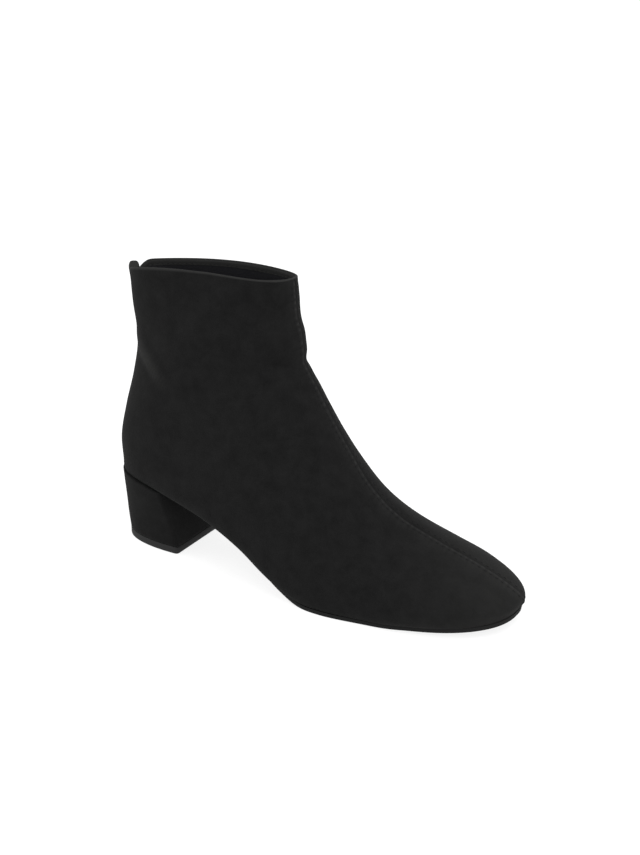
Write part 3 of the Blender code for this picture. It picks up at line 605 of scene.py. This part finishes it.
def patterned(name, patterns, tones, finish, relief=None, gloss=None):
    """A material: its first pattern sets tone, and roughness over a gloss range, and its last sets relief."""
    material = new_material(name)
    place = add_node(material, "ShaderNodeTexCoord").outputs["Object"]
    marks = []
    for kind, output, sockets, settings in patterns:
        marks.append(add_node(material, kind, {"Vector": place, **sockets}, **settings).outputs[output])
    tone = add_node(material, "ShaderNodeMix", {"Factor": marks[0], 6: linear(tones[0]),
                                                7: linear(tones[1])}, data_type="RGBA")
    values = {"Base Color": tone.outputs[2], **finish}
    if gloss:
        matt = add_node(material, "ShaderNodeMapRange", {"Value": marks[0], "To Min": gloss[0],
                                                         "To Max": gloss[1]})
        values["Roughness"] = matt.outputs["Result"]
    if relief:
        bump = add_node(material, "ShaderNodeBump", {"Height": marks[-1], "Strength": relief[0],
                                                     "Distance": relief[1] * MM})
        values["Normal"] = bump.outputs["Normal"]
    shader = add_node(material, "ShaderNodeBsdfPrincipled", values)
    add_node(material, "ShaderNodeOutputMaterial", {"Surface": shader.outputs["BSDF"]})
    return material


# Bonded polyester thread: dull and as dark as the suede, so the stitches read as a row of faint dots
twist = ("ShaderNodeTexNoise", "Fac", {"Scale": per_mm(0.4), "Detail": 2.0}, {})
black_thread = patterned("bonded_polyester_thread", [twist], ("#0e0e0f", "#19191a"),
                         {"Roughness": 0.8, "IOR": 1.55, "Specular IOR Level": 0.08}, relief=(0.3, 0.1))

stitch_column = 1 + SEAM_MARKS.index(SEAM_STITCH)
middle = grid.shape[1] // 2
rows_of_stitches = []
for column in (middle - stitch_column, middle + stitch_column):
    line = face[TOE_STEPS // 2:, column]
    place, along, up = spaced(line, normal[TOE_STEPS // 2:, column], STITCH_PITCH, 0.5 * STITCH_PITCH)
    raised = place + up * THREAD_RISE * THREAD
    rows_of_stitches.append(bars(raised, along, up, STITCH_LENGTH, THREAD, STITCH_DIP))
add_piece("seam_stitches", *joined(rows_of_stitches), black_thread, "suede")

# Lining: thin smooth leather, blue black, glued to the back of the suede from under the collar's edge
# down to the insole. It is what shows inside the boot.
LINING_OUT = 1.25
LINING_IN = 1.8
LINING_DROP = 1.2
LINING_ROWS = 130
LINING_HALF_STEPS = 32


def along_columns(sheet, places):
    """Points of each column of a sheet, at the places that a function gives for the way along the column."""
    lines = []
    for line in np.swapaxes(sheet, 0, 1):
        run = run_along(line)
        lines.append(np.stack([np.interp(places(run), run, line[:, k]) for k in range(3)], 1))
    return np.stack(lines, 1)


def trimmed(sheet, drop):
    """A sheet with its upper edge lowered, each column's points closed up to fit."""
    return along_columns(sheet, lambda run: run * (1 - drop / run[-1]))


def smooth_leather(name, tones):
    """Finished lining leather: a close pebbled grain under a thin finish, with soft broad lights."""
    cloud = ("ShaderNodeTexNoise", "Fac", {"Scale": per_mm(14), "Detail": 4.0}, {})
    # Real pebbles are about 0.4 mm: drawn at 0.9 mm so that they show
    pebble = ("ShaderNodeTexVoronoi", "Distance", {"Scale": per_mm(0.9)}, {"feature": "F1"})
    return patterned(name, [cloud, pebble], tones,
                     {"Roughness": 0.6, "IOR": 1.5, "Specular IOR Level": 0.22}, relief=(0.25, 0.15))


lining_leather = smooth_leather("blue_black_lining_leather", ("#09090c", "#0f0f14"))
lining_rows = fine_rows(LINING_ROWS)
lining_grid, lining_normal, lining_opened = shell(lining_rows, seam_steps(lining_rows, LINING_HALF_STEPS))
lining_form = lining_grid + lining_normal * crease_rise(lining_grid, CREASE_ROWS)[:, :, None]
lining_outer = trimmed(lining_form - lining_normal * LINING_OUT, LINING_DROP)
lining_inner = trimmed(lining_form - lining_normal * LINING_IN, LINING_DROP)
lining_index = upper_index(lining_grid.shape[:2], lining_rows, lining_opened)
points, faces = thick_wall(lining_outer, lining_inner, lining_index)
lining = add_piece("lining", points, faces, lining_leather, "lining", crisp=60.0)
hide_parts("upper")

# Collar facing: the suede's upper edge, skived thin, turned over the lining and sewn down inside the
# boot with one row of stitches.
FACING_COLUMNS = ("drop", "depth")
FACING_ROWS = ((0.15, 1.35), (0.5, 1.75), (1.0, 1.95), (1.6, 2.0), (2.2, 1.98), (2.8, 2.1), (3.1, 1.95),
               (3.25, 1.6))
# Painted light on the facing, which lies in the boot's own shade: its share at each depth below the edge
FACING_LIGHT_DROPS = (0.0, 2.2, 2.8, 3.3)
FACING_LIGHT = (0.3, 0.3, 0.7, 0.4)
FACING_OUT = 1.15
FACING_STITCH = 2.35
FACING_STITCH_DEPTH = 2.0
FACING_THREAD_RISE = 0.3
FACING_PITCH = 2.8


def below_rim(sheet, drops):
    """Points of each column of a sheet at these depths below its upper edge."""
    return along_columns(sheet[::-1], lambda run: drops)


facing_table = columns(FACING_COLUMNS, FACING_ROWS)
rim_sheet = below_rim(form, facing_table["drop"])
rim_normal = np.broadcast_to(normal[-1], rim_sheet.shape)
facing_outer = rim_sheet - rim_normal * FACING_OUT
facing_inner = rim_sheet - rim_normal * facing_table["depth"][:, None, None]
points, faces = thick_wall(facing_inner, facing_outer)
# Painted light on the facing
facing_light = np.interp(facing_table["drop"], FACING_LIGHT_DROPS, FACING_LIGHT)
facing_shade = np.tile(np.repeat(facing_light, rim_sheet.shape[1]), 2)
add_piece("collar_facing", points, faces, black_suede, "suede", crisp=70.0, shades={"pale": facing_shade})
stitch_depth = FACING_STITCH_DEPTH - FACING_THREAD_RISE * THREAD
line = below_rim(form, [FACING_STITCH])[0] - normal[-1] * stitch_depth
place, along, up = spaced(line[2:-2], -normal[-1][2:-2], FACING_PITCH, FACING_PITCH)
points, faces = bars(place, along, up, STITCH_LENGTH, THREAD, STITCH_DIP)
add_piece("facing_stitches", points, faces, black_thread, "suede")

# Zip: a nylon coil closed on two woven polyester tapes, sewn behind the slit at the centre back.
# The tape is a flat close weave; the coil's turns lie across it, one for each 1.4 mm.
# WALL is the suede with its lining, and GAP the room between one solid and the next.
ZIP_TOP = 158.4
WALL = 1.8
GAP = 0.3
TAPE_HALF = 7.0
TAPE = 0.8
TAPE_OUT = WALL + 2 * GAP
TAPE_ROWS = 60
TAPE_COLUMNS = 21
COIL_START = 3.0
COIL_HALF = 2.0
COIL_SINK = 0.5
COIL_PITCH = 1.4
COIL_WIRE = 0.42
COIL_DIP = 0.35
CORE_MARGIN = 0.4
CORE_OVERLAP = 0.1
CORE_COLUMNS = 5
SLIDER_LENGTH = 9.0
BACK_STEPS = 60


def back_strip(heights, across, depths):
    """Sheets that follow the back of the boot at several depths under its outer face, and their normals."""
    strip_rows = back_rows(heights)
    line = np.concatenate([np.linspace(0, 0.5, BACK_STEPS)[:-1], np.linspace(0.5, 1, BACK_STEPS)])
    strip_grid, strip_normal, _ = shell(strip_rows, np.tile(line, (len(strip_rows), 1)))
    place = np.zeros((len(strip_rows), len(across), 3))
    facing = np.zeros_like(place)
    for i in range(len(strip_rows)):
        for j, y in enumerate(across):
            hand = slice(0, BACK_STEPS) if y < 0 else slice(-1, -BACK_STEPS - 1, -1)
            reach = np.abs(strip_grid[i, hand, 1])
            for found, values in ((place, strip_grid), (facing, strip_normal)):
                found[i, j] = [np.interp(abs(y), reach, values[i, hand, k]) for k in range(3)]
    place[:, :, 1] = across
    facing = facing / np.linalg.norm(facing, axis=2, keepdims=True)
    return [place - facing * np.broadcast_to(depth, place.shape[:2])[:, :, None] for depth in depths], facing


# Woven zip tape: a herringbone of dull polyester threads, dark, flat and slightly ribbed.
# Real threads are 0.3 mm apart: drawn at 0.8 mm so that they show. A wave repeats 20 times in its unit.
weave = ("ShaderNodeTexWave", "Fac", {"Scale": per_mm(0.8) / 20, "Distortion": 0.6, "Detail": 1.0},
         {"wave_type": "BANDS", "bands_direction": "DIAGONAL"})
zip_cloth = patterned("woven_polyester_tape", [weave], ("#141416", "#29292c"),
                      {"Roughness": 0.85, "IOR": 1.5, "Specular IOR Level": 0.25, "Sheen Weight": 0.1},
                      relief=(0.5, 0.2))

# Nylon coil: drawn monofilament, smooth and half glossy
streak = ("ShaderNodeTexNoise", "Fac", {"Scale": per_mm(1.5), "Detail": 2.0}, {})
nylon = patterned("black_nylon_coil", [streak], ("#17171a", "#2c2c31"), {"IOR": 1.53}, gloss=(0.3, 0.45))

slider_foot = ZIP_TOP - SLIDER_LENGTH
tape_heights = np.linspace(ZIP_FOOT + COIL_START, slider_foot - GAP, TAPE_ROWS)
tape_across = np.linspace(TAPE_HALF, -TAPE_HALF, TAPE_COLUMNS)
tape_sheets, _ = back_strip(tape_heights, tape_across, (TAPE_OUT, TAPE_OUT + TAPE))
points, faces = thick_wall(*tape_sheets)
tape = add_piece("zip_tape", points, faces, zip_cloth, "zip_tape", crisp=50.0)
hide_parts("zip")

coil_depth = COIL_SINK + COIL_WIRE
core_across = np.linspace(COIL_HALF - CORE_MARGIN, CORE_MARGIN - COIL_HALF, CORE_COLUMNS)
core_sheets, _ = back_strip(tape_heights, core_across, (coil_depth, TAPE_OUT + CORE_OVERLAP))
core_points, core_faces = thick_wall(*core_sheets)
turn_heights = np.arange(tape_heights[0] + COIL_PITCH, tape_heights[-1], COIL_PITCH)
(turns_of_coil,), coil_normal = back_strip(turn_heights, [0.0], (coil_depth,))
aside = np.tile([0.0, 1.0, 0.0], (len(turn_heights), 1))
coil = bars(turns_of_coil[:, 0], aside, coil_normal[:, 0], 2 * COIL_HALF, COIL_WIRE, COIL_DIP)
points, faces = joined([(core_points, core_faces.tolist()), coil])
coil_piece = add_piece("zip_coil", points, faces, nylon, "zip_tape", crisp=60.0)
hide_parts("zip")

# Zip slider: die cast zinc with a dark nickel plate, parked at the top of the coil. Its face is crowned
# and its edges are tumbled smooth.
SLIDER_EDGE_COLUMNS = ("across", "sink")
SLIDER_EDGE_ROWS = ((2.0, 0.9), (1.85, 0.45), (1.5, 0.25), (0.8, 0.2), (0.0, 0.2))
SLIDER_BACK_SHARE = 0.8
SLIDER_END_SINK = 0.6
SLIDER_END_POWER = 6
SLIDER_ROWS = 15

# Dark nickel plate: a grey mirror that fine scuffs from the hand make a little cloudy
scuff = ("ShaderNodeTexNoise", "Fac", {"Scale": per_mm(1.2), "Detail": 5.0, "Roughness": 0.7}, {})
dark_nickel = patterned("dark_nickel_plate", [scuff], ("#6d6f74", "#9a9ca2"), {"Metallic": 1.0},
                        gloss=(0.22, 0.4))

edge = columns(SLIDER_EDGE_COLUMNS, SLIDER_EDGE_ROWS)
slider_across = np.concatenate([edge["across"], -edge["across"][-2::-1]])
slider_sink = np.concatenate([edge["sink"], edge["sink"][-2::-1]])
slider_heights = np.linspace(slider_foot, ZIP_TOP, SLIDER_ROWS)
end_sink = SLIDER_END_SINK * np.abs(np.linspace(-1, 1, SLIDER_ROWS)) ** SLIDER_END_POWER
face_depth = slider_sink[None, :] + end_sink[:, None]
back_depth = TAPE_OUT + TAPE - SLIDER_BACK_SHARE * slider_sink[None, :]
slider_sheets, _ = back_strip(slider_heights, slider_across, (face_depth, back_depth))
points, faces = thick_wall(*slider_sheets)
slider = add_piece("zip_slider_body", points, faces, dark_nickel, "zip_metal", crisp=50.0)
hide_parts("zip_slider")

# Zip guard: a strip of suede folded to double thickness that covers the zip. It is sewn down along
# both edges, and its rounded end stands a little above the collar.
GUARD_HALF = 4.2
GUARD = 1.2
GUARD_DROP = 6.0
GUARD_RISE = 3.9
GUARD_END_WIDTH = 0.25
GUARD_ROUND = 1.1
GUARD_STITCH = 3.0
GUARD_STITCH_SINK = 0.05
GUARD_ROWS = 70
GUARD_COLUMNS = 19
GUARD_END_ROWS = 7

# How much of the strip's thickness its face and its back lose at the folded edges, and its face at the hem
FACE_FOLD = 0.62
BACK_FOLD = 0.2
HEM_FOLD = 0.5
HEM_ROWS = 2

# How far the free end stands back from the collar, from what height and over what run
GUARD_LEAN = 1.5
GUARD_LEAN_START = 146.0
GUARD_LEAN_RUN = 14.0
GUARD_LEAN_POWER = 1.5

# The end that stands up above the collar lies in the collar's shade, so it gets a painted highlight
GUARD_LIGHT_ROWS = (GUARD_ROWS - 4, GUARD_ROWS - 1)
GUARD_LIGHT = (0.0, 0.9)

guard_heights = np.linspace(ZIP_FOOT - GUARD_DROP, BACK["z"][-1], GUARD_ROWS)
guard_across = GUARD_HALF * np.sin(np.linspace(math.pi / 2, -math.pi / 2, GUARD_COLUMNS))
from_edge = np.clip((GUARD_HALF - np.abs(guard_across)) / GUARD_ROUND, 0, 1)
folded = FACE_FOLD * GUARD * (1 - np.sqrt(1 - (1 - from_edge) ** 2))
hem = HEM_FOLD * GUARD * np.clip(1 - np.arange(GUARD_ROWS) / HEM_ROWS, 0, 1) ** 2
guard_sheets, _ = back_strip(guard_heights, guard_across, (
    -GAP - GUARD + folded[None, :] + hem[:, None], -GAP - BACK_FOLD * folded[None, :]))


def rounded_end(strip):
    """The strip with a rounded end above its last row."""
    layers = [strip]
    top = strip[-1, :, 2].min() + GUARD_RISE
    for turn in np.linspace(0, math.pi / 2, GUARD_END_ROWS + 1)[1:]:
        end = strip[-1:].copy()
        end[:, :, 1] *= GUARD_END_WIDTH + (1 - GUARD_END_WIDTH) * math.cos(turn)
        end[:, :, 2] += (top - end[:, :, 2]) * math.sin(turn)
        layers.append(end)
    return np.concatenate(layers)


def leaned(sheet):
    """The strip with its free end standing back from the collar."""
    lean = np.clip((sheet[..., 2] - GUARD_LEAN_START) / GUARD_LEAN_RUN, 0, 1) ** GUARD_LEAN_POWER
    moved = sheet.copy()
    moved[..., 0] -= GUARD_LEAN * lean
    return moved


guard_outer, guard_inner = (leaned(rounded_end(sheet)) for sheet in guard_sheets)
points, faces = thick_wall(guard_outer, guard_inner)
# Painted highlight on the guard's end
guard_light = np.interp(np.arange(len(guard_outer)), GUARD_LIGHT_ROWS, GUARD_LIGHT)
guard_shade = np.tile(np.repeat(guard_light, GUARD_COLUMNS), 2)
guard = add_piece("guard_strip", points, faces, black_suede, "suede", crisp=75.0,
                  shades={"pale": guard_shade})
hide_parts("zip_guard")
guard_rows_of_stitches = []
for y in (-GUARD_STITCH, GUARD_STITCH):
    (guard_line,), line_normal = back_strip(guard_heights[2:], [y], (-GAP - GUARD + GUARD_STITCH_SINK,))
    place, along, up = spaced(leaned(guard_line)[:, 0], line_normal[:, 0], STITCH_PITCH, 0.5 * STITCH_PITCH)
    guard_rows_of_stitches.append(bars(place, along, up, STITCH_LENGTH, THREAD, STITCH_DIP))
add_piece("guard_stitches", *joined(guard_rows_of_stitches), black_thread, "suede")

# Insole: a fibre board covered with a padded leather sock, glued inside the bottom edge of the upper.
# It is crowned a little across the foot and cupped at the heel.
INSOLE = 2.4
INSOLE_CROWN = 0.35
INSOLE_CROWN_POWER = 0.5
SHEET_COLUMNS = 15

# How far the sock's edge lies in from the bottom edge of the upper: at the waist it closes up to the lining
INSOLE_INSET_COLUMNS = ("x", "inset")
INSOLE_INSET_ROWS = ((0.8, 2.2), (20.0, 2.2), (36.0, 0.3), (128.0, 0.3), (150.0, 1.0), (175.0, 2.2))

# Rings of the sock's edge from the board up: how far each lies in from the edge, and its height
SOCK_EDGE_ROWS = ((0.0, 0.0), (0.0, INSOLE - 0.5), (0.2, INSOLE - 0.15), (0.6, INSOLE))


def base_pairs(pair_rows):
    """Right and left points of the upper's bottom edge on each section, met at the tip of the toe."""
    ends = np.tile(np.array([0.0, 1.0]), (len(pair_rows), 1))
    near = half_shell(pair_rows, ends, -1)[0][:, -1]
    far = half_shell(pair_rows, ends, 1)[0][:, -1]
    near[0] = far[0] = 0.5 * (near[0] + far[0])
    return near, far


def spread_pairs(near, far, distance):
    """The same outline moved outwards in plan."""
    moved = []
    for line, side in ((near, -1), (far, 1)):
        run = np.gradient(line[:, :2], axis=0)
        plan = np.stack([-run[:, 1], run[:, 0]], 1) * -side
        moved.append(plan / np.maximum(np.linalg.norm(plan, axis=1, keepdims=True), 1e-9))
    for end in (0, -1):
        if np.allclose(near[end], far[end], atol=1e-6):
            both = moved[0][end] + moved[1][end]
            moved[0][end] = moved[1][end] = both / np.linalg.norm(both)
    out = []
    for line, plan in zip((near, far), moved):
        shifted = line.copy()
        shifted[:, :2] += distance * plan
        out.append(shifted)
    return out


def flat_pairs(near, far, height):
    """Pairs of points whose height is a function of the place along the foot."""
    pairs = np.stack([near, far], 1)
    pairs[:, :, 2] = height(pairs[:, :, 0])
    return pairs


def pair_stack(rings, low_rise=None, high_rise=None):
    """Closed solid through rings of right and left points, its two ends gridded and raised as given."""
    rings = np.asarray(rings, float)
    loops = np.concatenate([rings[:, :, 0], rings[:, ::-1, 1]], 1)
    number = np.arange(loops[..., 0].size).reshape(loops.shape[:2])
    wall = grid_quads(np.concatenate([number, number[:, :1]], 1))
    shares = np.linspace(0, 1, SHEET_COLUMNS)[None, :, None]
    points, faces = [loops.reshape(-1, 3)], [wall]
    count = number.size
    for ring, rise in ((rings[0], low_rise), (rings[-1], high_rise)):
        sheet = ring[:, None, 0] * (1 - shares) + ring[:, None, 1] * shares
        if rise is not None:
            sheet[:, 1:-1, 2] += rise(sheet[:, 1:-1, 0], sheet[:, 1:-1, 1], shares[:, 1:-1, 0])
        faces.append(grid_quads(count + np.arange(sheet[..., 0].size).reshape(sheet.shape[:2])))
        points.append(sheet.reshape(-1, 3))
        count += sheet[..., 0].size
    return np.concatenate(points), np.concatenate(faces)


def crown(x, y, share):
    """Rise of the sock from its edges to the middle of the foot."""
    return INSOLE_CROWN * np.sin(math.pi * share) ** INSOLE_CROWN_POWER


foot_rows = rows[rows <= HEEL_ROW][::2]
near, far = base_pairs(foot_rows)
near[-1] = far[-1] = 0.5 * (near[-1] + far[-1])
inset_table = columns(INSOLE_INSET_COLUMNS, INSOLE_INSET_ROWS)
sock_inset = np.interp(near[:, 0], inset_table["x"], inset_table["inset"])[:, None]
insole_rings = []
for inset, up in SOCK_EDGE_ROWS:
    outline = spread_pairs(near, far, -sock_inset - inset)
    insole_rings.append(flat_pairs(*outline, lambda x: sole_height(x) + up))
points, faces = pair_stack(insole_rings, None, crown)
sock_leather = smooth_leather("sock_leather", ("#16171c", "#22232a"))
insole = add_piece("insole_sock", points, faces, sock_leather, "lining", crisp=60.0)
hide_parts("insole")

# Outsole: moulded matt black rubber, 1.7 mm thick, glued under the upper from the toe to the heel.
# Its edge is rounded, and shallow grooves run across the tread.
OUTSOLE = 1.7
OUTSOLE_SPREAD = 1.3
TOE_SPREAD = 0.7
TOE_SPREAD_START = 185.0
TOE_LIP = 0.8
ARCH_FRONT = 140.0
ARCH_BACK = 95.0
ARCH_INSET = 2.5
BREAST_TOP = 39.5
BREAST_ROOM = 0.5

# Grooves of the tread: where they run, their pitch and depth, how steep and how narrow they are, and the
# share of the sole's width that is left plain at each edge
GROOVE_FRONT = 218.0
GROOVE_BACK = 136.0
GROOVE_PITCH = 5.0
GROOVE_DEPTH = 0.5
GROOVE_STEEP = 3.0
GROOVE_NARROW = 1.6
GROOVE_MARGIN = 0.1

# Rings of its edge from the tread up: how far each lies in from the edge, its height, and how much
# higher it stands where the edge is widest, so that it closes up to the rolled suede
OUTSOLE_EDGE_ROWS = ((0.4, 0.0, 0.0), (0.12, 0.12, 0.0), (0.0, 0.35, 0.0), (0.0, 1.6, 0.3), (0.1, 1.9, 0.35),
                     (0.35, 2.1, 0.05), (0.9, 2.0, 0.0))


def rubber(name, tones, gloss):
    """Moulded rubber: dull and even, with a fine sparked grain from the mould."""
    dust = ("ShaderNodeTexNoise", "Fac", {"Scale": per_mm(12), "Detail": 5.0, "Roughness": 0.65}, {})
    # The mould's grain is about 0.2 mm: drawn at 0.6 mm so that it shows
    spark = ("ShaderNodeTexNoise", "Fac", {"Scale": per_mm(0.6), "Detail": 3.0}, {})
    return patterned(name, [dust, spark], tones, {"IOR": 1.52, "Specular IOR Level": 0.2},
                     relief=(0.25, 0.12), gloss=gloss)


def outsole_top(x):
    """Height of the outsole's upper face, level past the end of the sole line."""
    return sole_height(np.minimum(x, SOLE["x"][0])) - GAP


def groove(x, y, share):
    """Depth of the tread's grooves, cut across the sole inside its margin."""
    cut = np.clip(GROOVE_STEEP * np.cos(2 * math.pi * x / GROOVE_PITCH) - GROOVE_NARROW, 0, 1)
    between = (share > GROOVE_MARGIN) & (share < 1 - GROOVE_MARGIN)
    return GROOVE_DEPTH * cut * ((x < GROOVE_FRONT) & (x > GROOVE_BACK) & between)


sole_rows = rows[rows <= HEEL_ROW]
sole_rows = sole_rows[sections(sole_rows)["base_x"] > BREAST_TOP + BREAST_ROOM]
fine = np.linspace(sole_rows[-1], HEEL_ROW, PATH_STEPS)
sole_rows = np.append(sole_rows, np.interp(-BREAST_TOP, -sections(fine)["base_x"], fine))
near, far = base_pairs(sole_rows)
under_arch = np.clip((ARCH_FRONT - near[:, 0]) / (ARCH_FRONT - ARCH_BACK), 0, 1)
under_toe = np.clip((near[:, 0] - TOE_SPREAD_START) / (LENGTH - TOE_SPREAD_START), 0, 1)
spread = OUTSOLE_SPREAD - (OUTSOLE_SPREAD + ARCH_INSET) * under_arch * under_arch * (3 - 2 * under_arch)
wide = (np.clip(spread / OUTSOLE_SPREAD, 0, 1) * (1 + TOE_LIP * under_toe))[::-1]
spread = spread - (OUTSOLE_SPREAD - TOE_SPREAD) * under_toe
wide_places = near[::-1, 0]
outsole_rings = []
for inset, up, lip in OUTSOLE_EDGE_ROWS:
    outline = spread_pairs(near, far, spread[:, None] - inset)
    outline[0][-1, 0] = outline[1][-1, 0] = BREAST_TOP
    outsole_rings.append(flat_pairs(*outline, lambda x: outsole_top(x) - OUTSOLE + up
                                    + lip * np.interp(x, wide_places, wide)))
points, faces = pair_stack(outsole_rings, groove, None)
sole_rubber = rubber("matt_black_rubber", ("#0a0a0a", "#121212"), (0.77, 0.95))
outsole = add_piece("outsole_rubber", points, faces, sole_rubber, "sole_rubber", crisp=50.0)
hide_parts("outsole")

# Heel: a moulded block covered with one piece of the same suede, pulled tight and glued, so its nap
# lies flatter. The breast is flat, its edges are soft, and the back is round.
HEEL_TIP = 4.2
HEEL_COLUMNS = ("height", "front", "back", "half", "power")
HEEL_ROWS = ((0.00, 46.6, 1.9, 21.4, 2.35),
             (0.35, 43.9, 0.9, 22.4, 2.35),
             (0.75, 40.5, 0.9, 24.7, 2.35),
             (1.00, 38.7, 1.1, 26.4, 2.35))
HEEL_CORNER = 1.8
HEEL_STATIONS = 60
CORNER_STATIONS = 9
HEEL_LAYERS = 26
HEEL_EDGE = 0.3
HEEL_EDGE_STEPS = 4
HEEL_MIDDLE = 20.0

# The breast lies in the arch's shade, so painted light makes it a little paler than its shadow makes it
BREAST_LIGHT = 0.15


def heel_pairs(front, back, half, power, inset, height):
    """One ring of the heel: straight breast, rounded corners and a rounded back."""
    front, back, half = front - inset, back + inset, half - inset
    start = math.asin((HEEL_CORNER / (front - back)) ** (power / 2))
    turn = np.linspace(start, math.pi / 2, HEEL_STATIONS)
    x = front - (front - back) * np.sin(turn) ** (2 / power)
    y = half * np.cos(turn) ** (2 / power)
    bend = np.linspace(0, math.pi / 2, CORNER_STATIONS)[:-1]
    x = np.concatenate([front - HEEL_CORNER * (1 - np.cos(bend)), x])
    y = np.concatenate([y[0] - HEEL_CORNER * (1 - np.sin(bend)), y])
    y[-1] = 0
    near, far = (np.stack([x, side * y, np.zeros_like(x)], 1) for side in (-1, 1))
    return flat_pairs(near, far, height)


def heel_height(x, share):
    """Height of a heel ring, from level on the tip to the slope of the seat."""
    foot = HEEL_TIP + GAP
    return foot + share * (outsole_top(np.maximum(x, BACK_X)) - foot)


heel = columns(HEEL_COLUMNS, HEEL_ROWS)
edge_turn = np.linspace(0, math.pi / 2, HEEL_EDGE_STEPS)[:-1]
shares = np.linspace(0, 1, HEEL_LAYERS)
share_step = HEEL_EDGE / (outsole_top(HEEL_MIDDLE) - HEEL_TIP)
levels = np.concatenate([share_step * (1 - np.cos(edge_turn)), shares[1:-1],
                         1 - share_step * (1 - np.cos(edge_turn[::-1]))])
insets = np.concatenate([HEEL_EDGE * (1 - np.sin(edge_turn)), 0 * shares[1:-1],
                         HEEL_EDGE * (1 - np.sin(edge_turn[::-1]))])
heel_rings = []
for share, inset in zip(levels, insets):
    size = [smooth_curve(heel["height"], heel[name], np.array([share]))[0] for name in HEEL_COLUMNS[1:]]
    heel_rings.append(heel_pairs(*size, inset, lambda x: heel_height(x, share)))
points, faces = pair_stack(heel_rings)

# Heel suede: the same nap pulled flat, so it is a little darker; its pale tone, for the painted light on the
# breast, is lower
heel_suede = suede("heel_suede", "#0b0b0b", "#171717", "#2c2c2c")
# Painted light on the breast, fading out round its corners
breast_light = np.interp(np.arange(len(heel_rings[0])), (0, CORNER_STATIONS), (BREAST_LIGHT, 0))
heel_shade = np.zeros(len(points))
ring_shade = np.tile(np.concatenate([breast_light, breast_light[::-1]]), len(heel_rings))
heel_shade[:len(ring_shade)] = ring_shade
heel_piece = add_piece("heel_cover", points, faces, heel_suede, "heel_suede", crisp=60.0,
                       shades={"pale": heel_shade})
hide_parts("heel")

# Heel tip: a layer of hard dark grey rubber, cut to the heel's shape and pinned under it. Its lower
# edge is trimmed at a small angle.
# Rings of its edge from the floor up: how far each lies in from the edge, and its height
TIP_EDGE_ROWS = ((0.45, 0.0), (0.12, 0.25), (0.0, 0.7), (0.0, HEEL_TIP - 0.3), (0.3, HEEL_TIP))
tip_rings = []
for inset, up in TIP_EDGE_ROWS:
    tip_rings.append(heel_pairs(*HEEL_ROWS[0][1:], inset, lambda x: 0 * x + up))
points, faces = pair_stack(tip_rings)
tip_rubber = rubber("dark_grey_hard_rubber", ("#171717", "#222222"), (0.62, 0.8))
tip_piece = add_piece("heel_tip_rubber", points, faces, tip_rubber, "tip_rubber", crisp=50.0)
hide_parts("heel_tip")

# Floor, light and camera: a plain pale sweep, an even tent of soft light, and the view of the boot
# from its outer side, a little from the front and from above.
FLOOR_REACH = 60.0
TENT_STRENGTH = 1.13
floor_corners = [(FLOOR_REACH * x, FLOOR_REACH * y, 0) for x, y in ((-1, -1), (1, -1), (1, 1), (-1, 1))]
floor_mesh = bpy.data.meshes.new("floor")
floor_mesh.from_pydata(floor_corners, [], [(0, 1, 2, 3)])
floor = bpy.data.objects.new("floor", floor_mesh)
bpy.context.scene.collection.objects.link(floor)

# Pale floor: matt and lit from within a little, so that it stays white and takes only a faint shadow
pale_floor = new_material("pale_floor")
floor_shader = add_node(pale_floor, "ShaderNodeBsdfPrincipled", {
    "Base Color": linear("#8c8c8c"), "Roughness": 0.9, "Specular IOR Level": 0.1,
    "Emission Color": linear("#ffffff"), "Emission Strength": 0.82})
add_node(pale_floor, "ShaderNodeOutputMaterial", {"Surface": floor_shader.outputs["BSDF"]})
floor_mesh.materials.append(pale_floor)

world = bpy.data.worlds.new("tent")
bpy.context.scene.world = world
world.use_nodes = True
world.node_tree.nodes["Background"].inputs["Color"].default_value = linear("#ffffff")
world.node_tree.nodes["Background"].inputs["Strength"].default_value = TENT_STRENGTH
bpy.context.scene.view_settings.view_transform = "Standard"

# Soft lamps that aim at the boot's middle: the place and the width of each in metres, its power in watts
LIGHT_AIM = (0.0, 0.0, 0.08)
LIGHT_ROWS = {
    "top": ((0.3, -0.1, 1.3), 1.0, 4.6),
    "left": ((-1.2, -0.4, 0.7), 0.6, 4.2),
    "right": ((1.2, -0.5, 0.35), 0.7, 4.5),
}
for name, (place, size, power) in LIGHT_ROWS.items():
    data = bpy.data.lights.new(name, "AREA")
    data.size = size
    data.energy = power
    lamp = bpy.data.objects.new(name, data)
    lamp.location = place
    lamp.rotation_mode = "QUATERNION"
    lamp.rotation_quaternion = (Vector(place) - Vector(LIGHT_AIM)).to_track_quat("Z", "Y")
    bpy.context.scene.collection.objects.link(lamp)

# The camera: the point on the last that it looks at, its angles, its distance and its lens
VIEW_AIM = (120.1, 9.1, 79.8)
VIEW_AZIMUTH = math.radians(27.0)
VIEW_ELEVATION = math.radians(18.9)
VIEW_ROLL = math.radians(1.02)
VIEW_DISTANCE = 500.1
PICTURE_HIGH = 855
FOCAL_PIXELS = 939
SENSOR = 36.0
behind = Vector((math.sin(VIEW_AZIMUTH) * math.cos(VIEW_ELEVATION),
                 -math.cos(VIEW_AZIMUTH) * math.cos(VIEW_ELEVATION), math.sin(VIEW_ELEVATION)))
level = Vector((math.cos(VIEW_AZIMUTH), math.sin(VIEW_AZIMUTH), 0))
upright = behind.cross(level)
right = level * math.cos(VIEW_ROLL) + upright * math.sin(VIEW_ROLL)
above = upright * math.cos(VIEW_ROLL) - level * math.sin(VIEW_ROLL)
eye = Vector(placed(VIEW_AIM)) + behind * VIEW_DISTANCE * MM
view_data = bpy.data.cameras.new("view")
view_data.sensor_width = SENSOR
view_data.lens = SENSOR * FOCAL_PIXELS / PICTURE_HIGH
view_data.clip_start = 0.01
view = bpy.data.objects.new("view", view_data)
turn = Matrix((right, above, behind)).transposed().to_4x4()
turn.translation = eye
view.matrix_world = turn
bpy.context.scene.collection.objects.link(view)
bpy.context.scene.camera = view
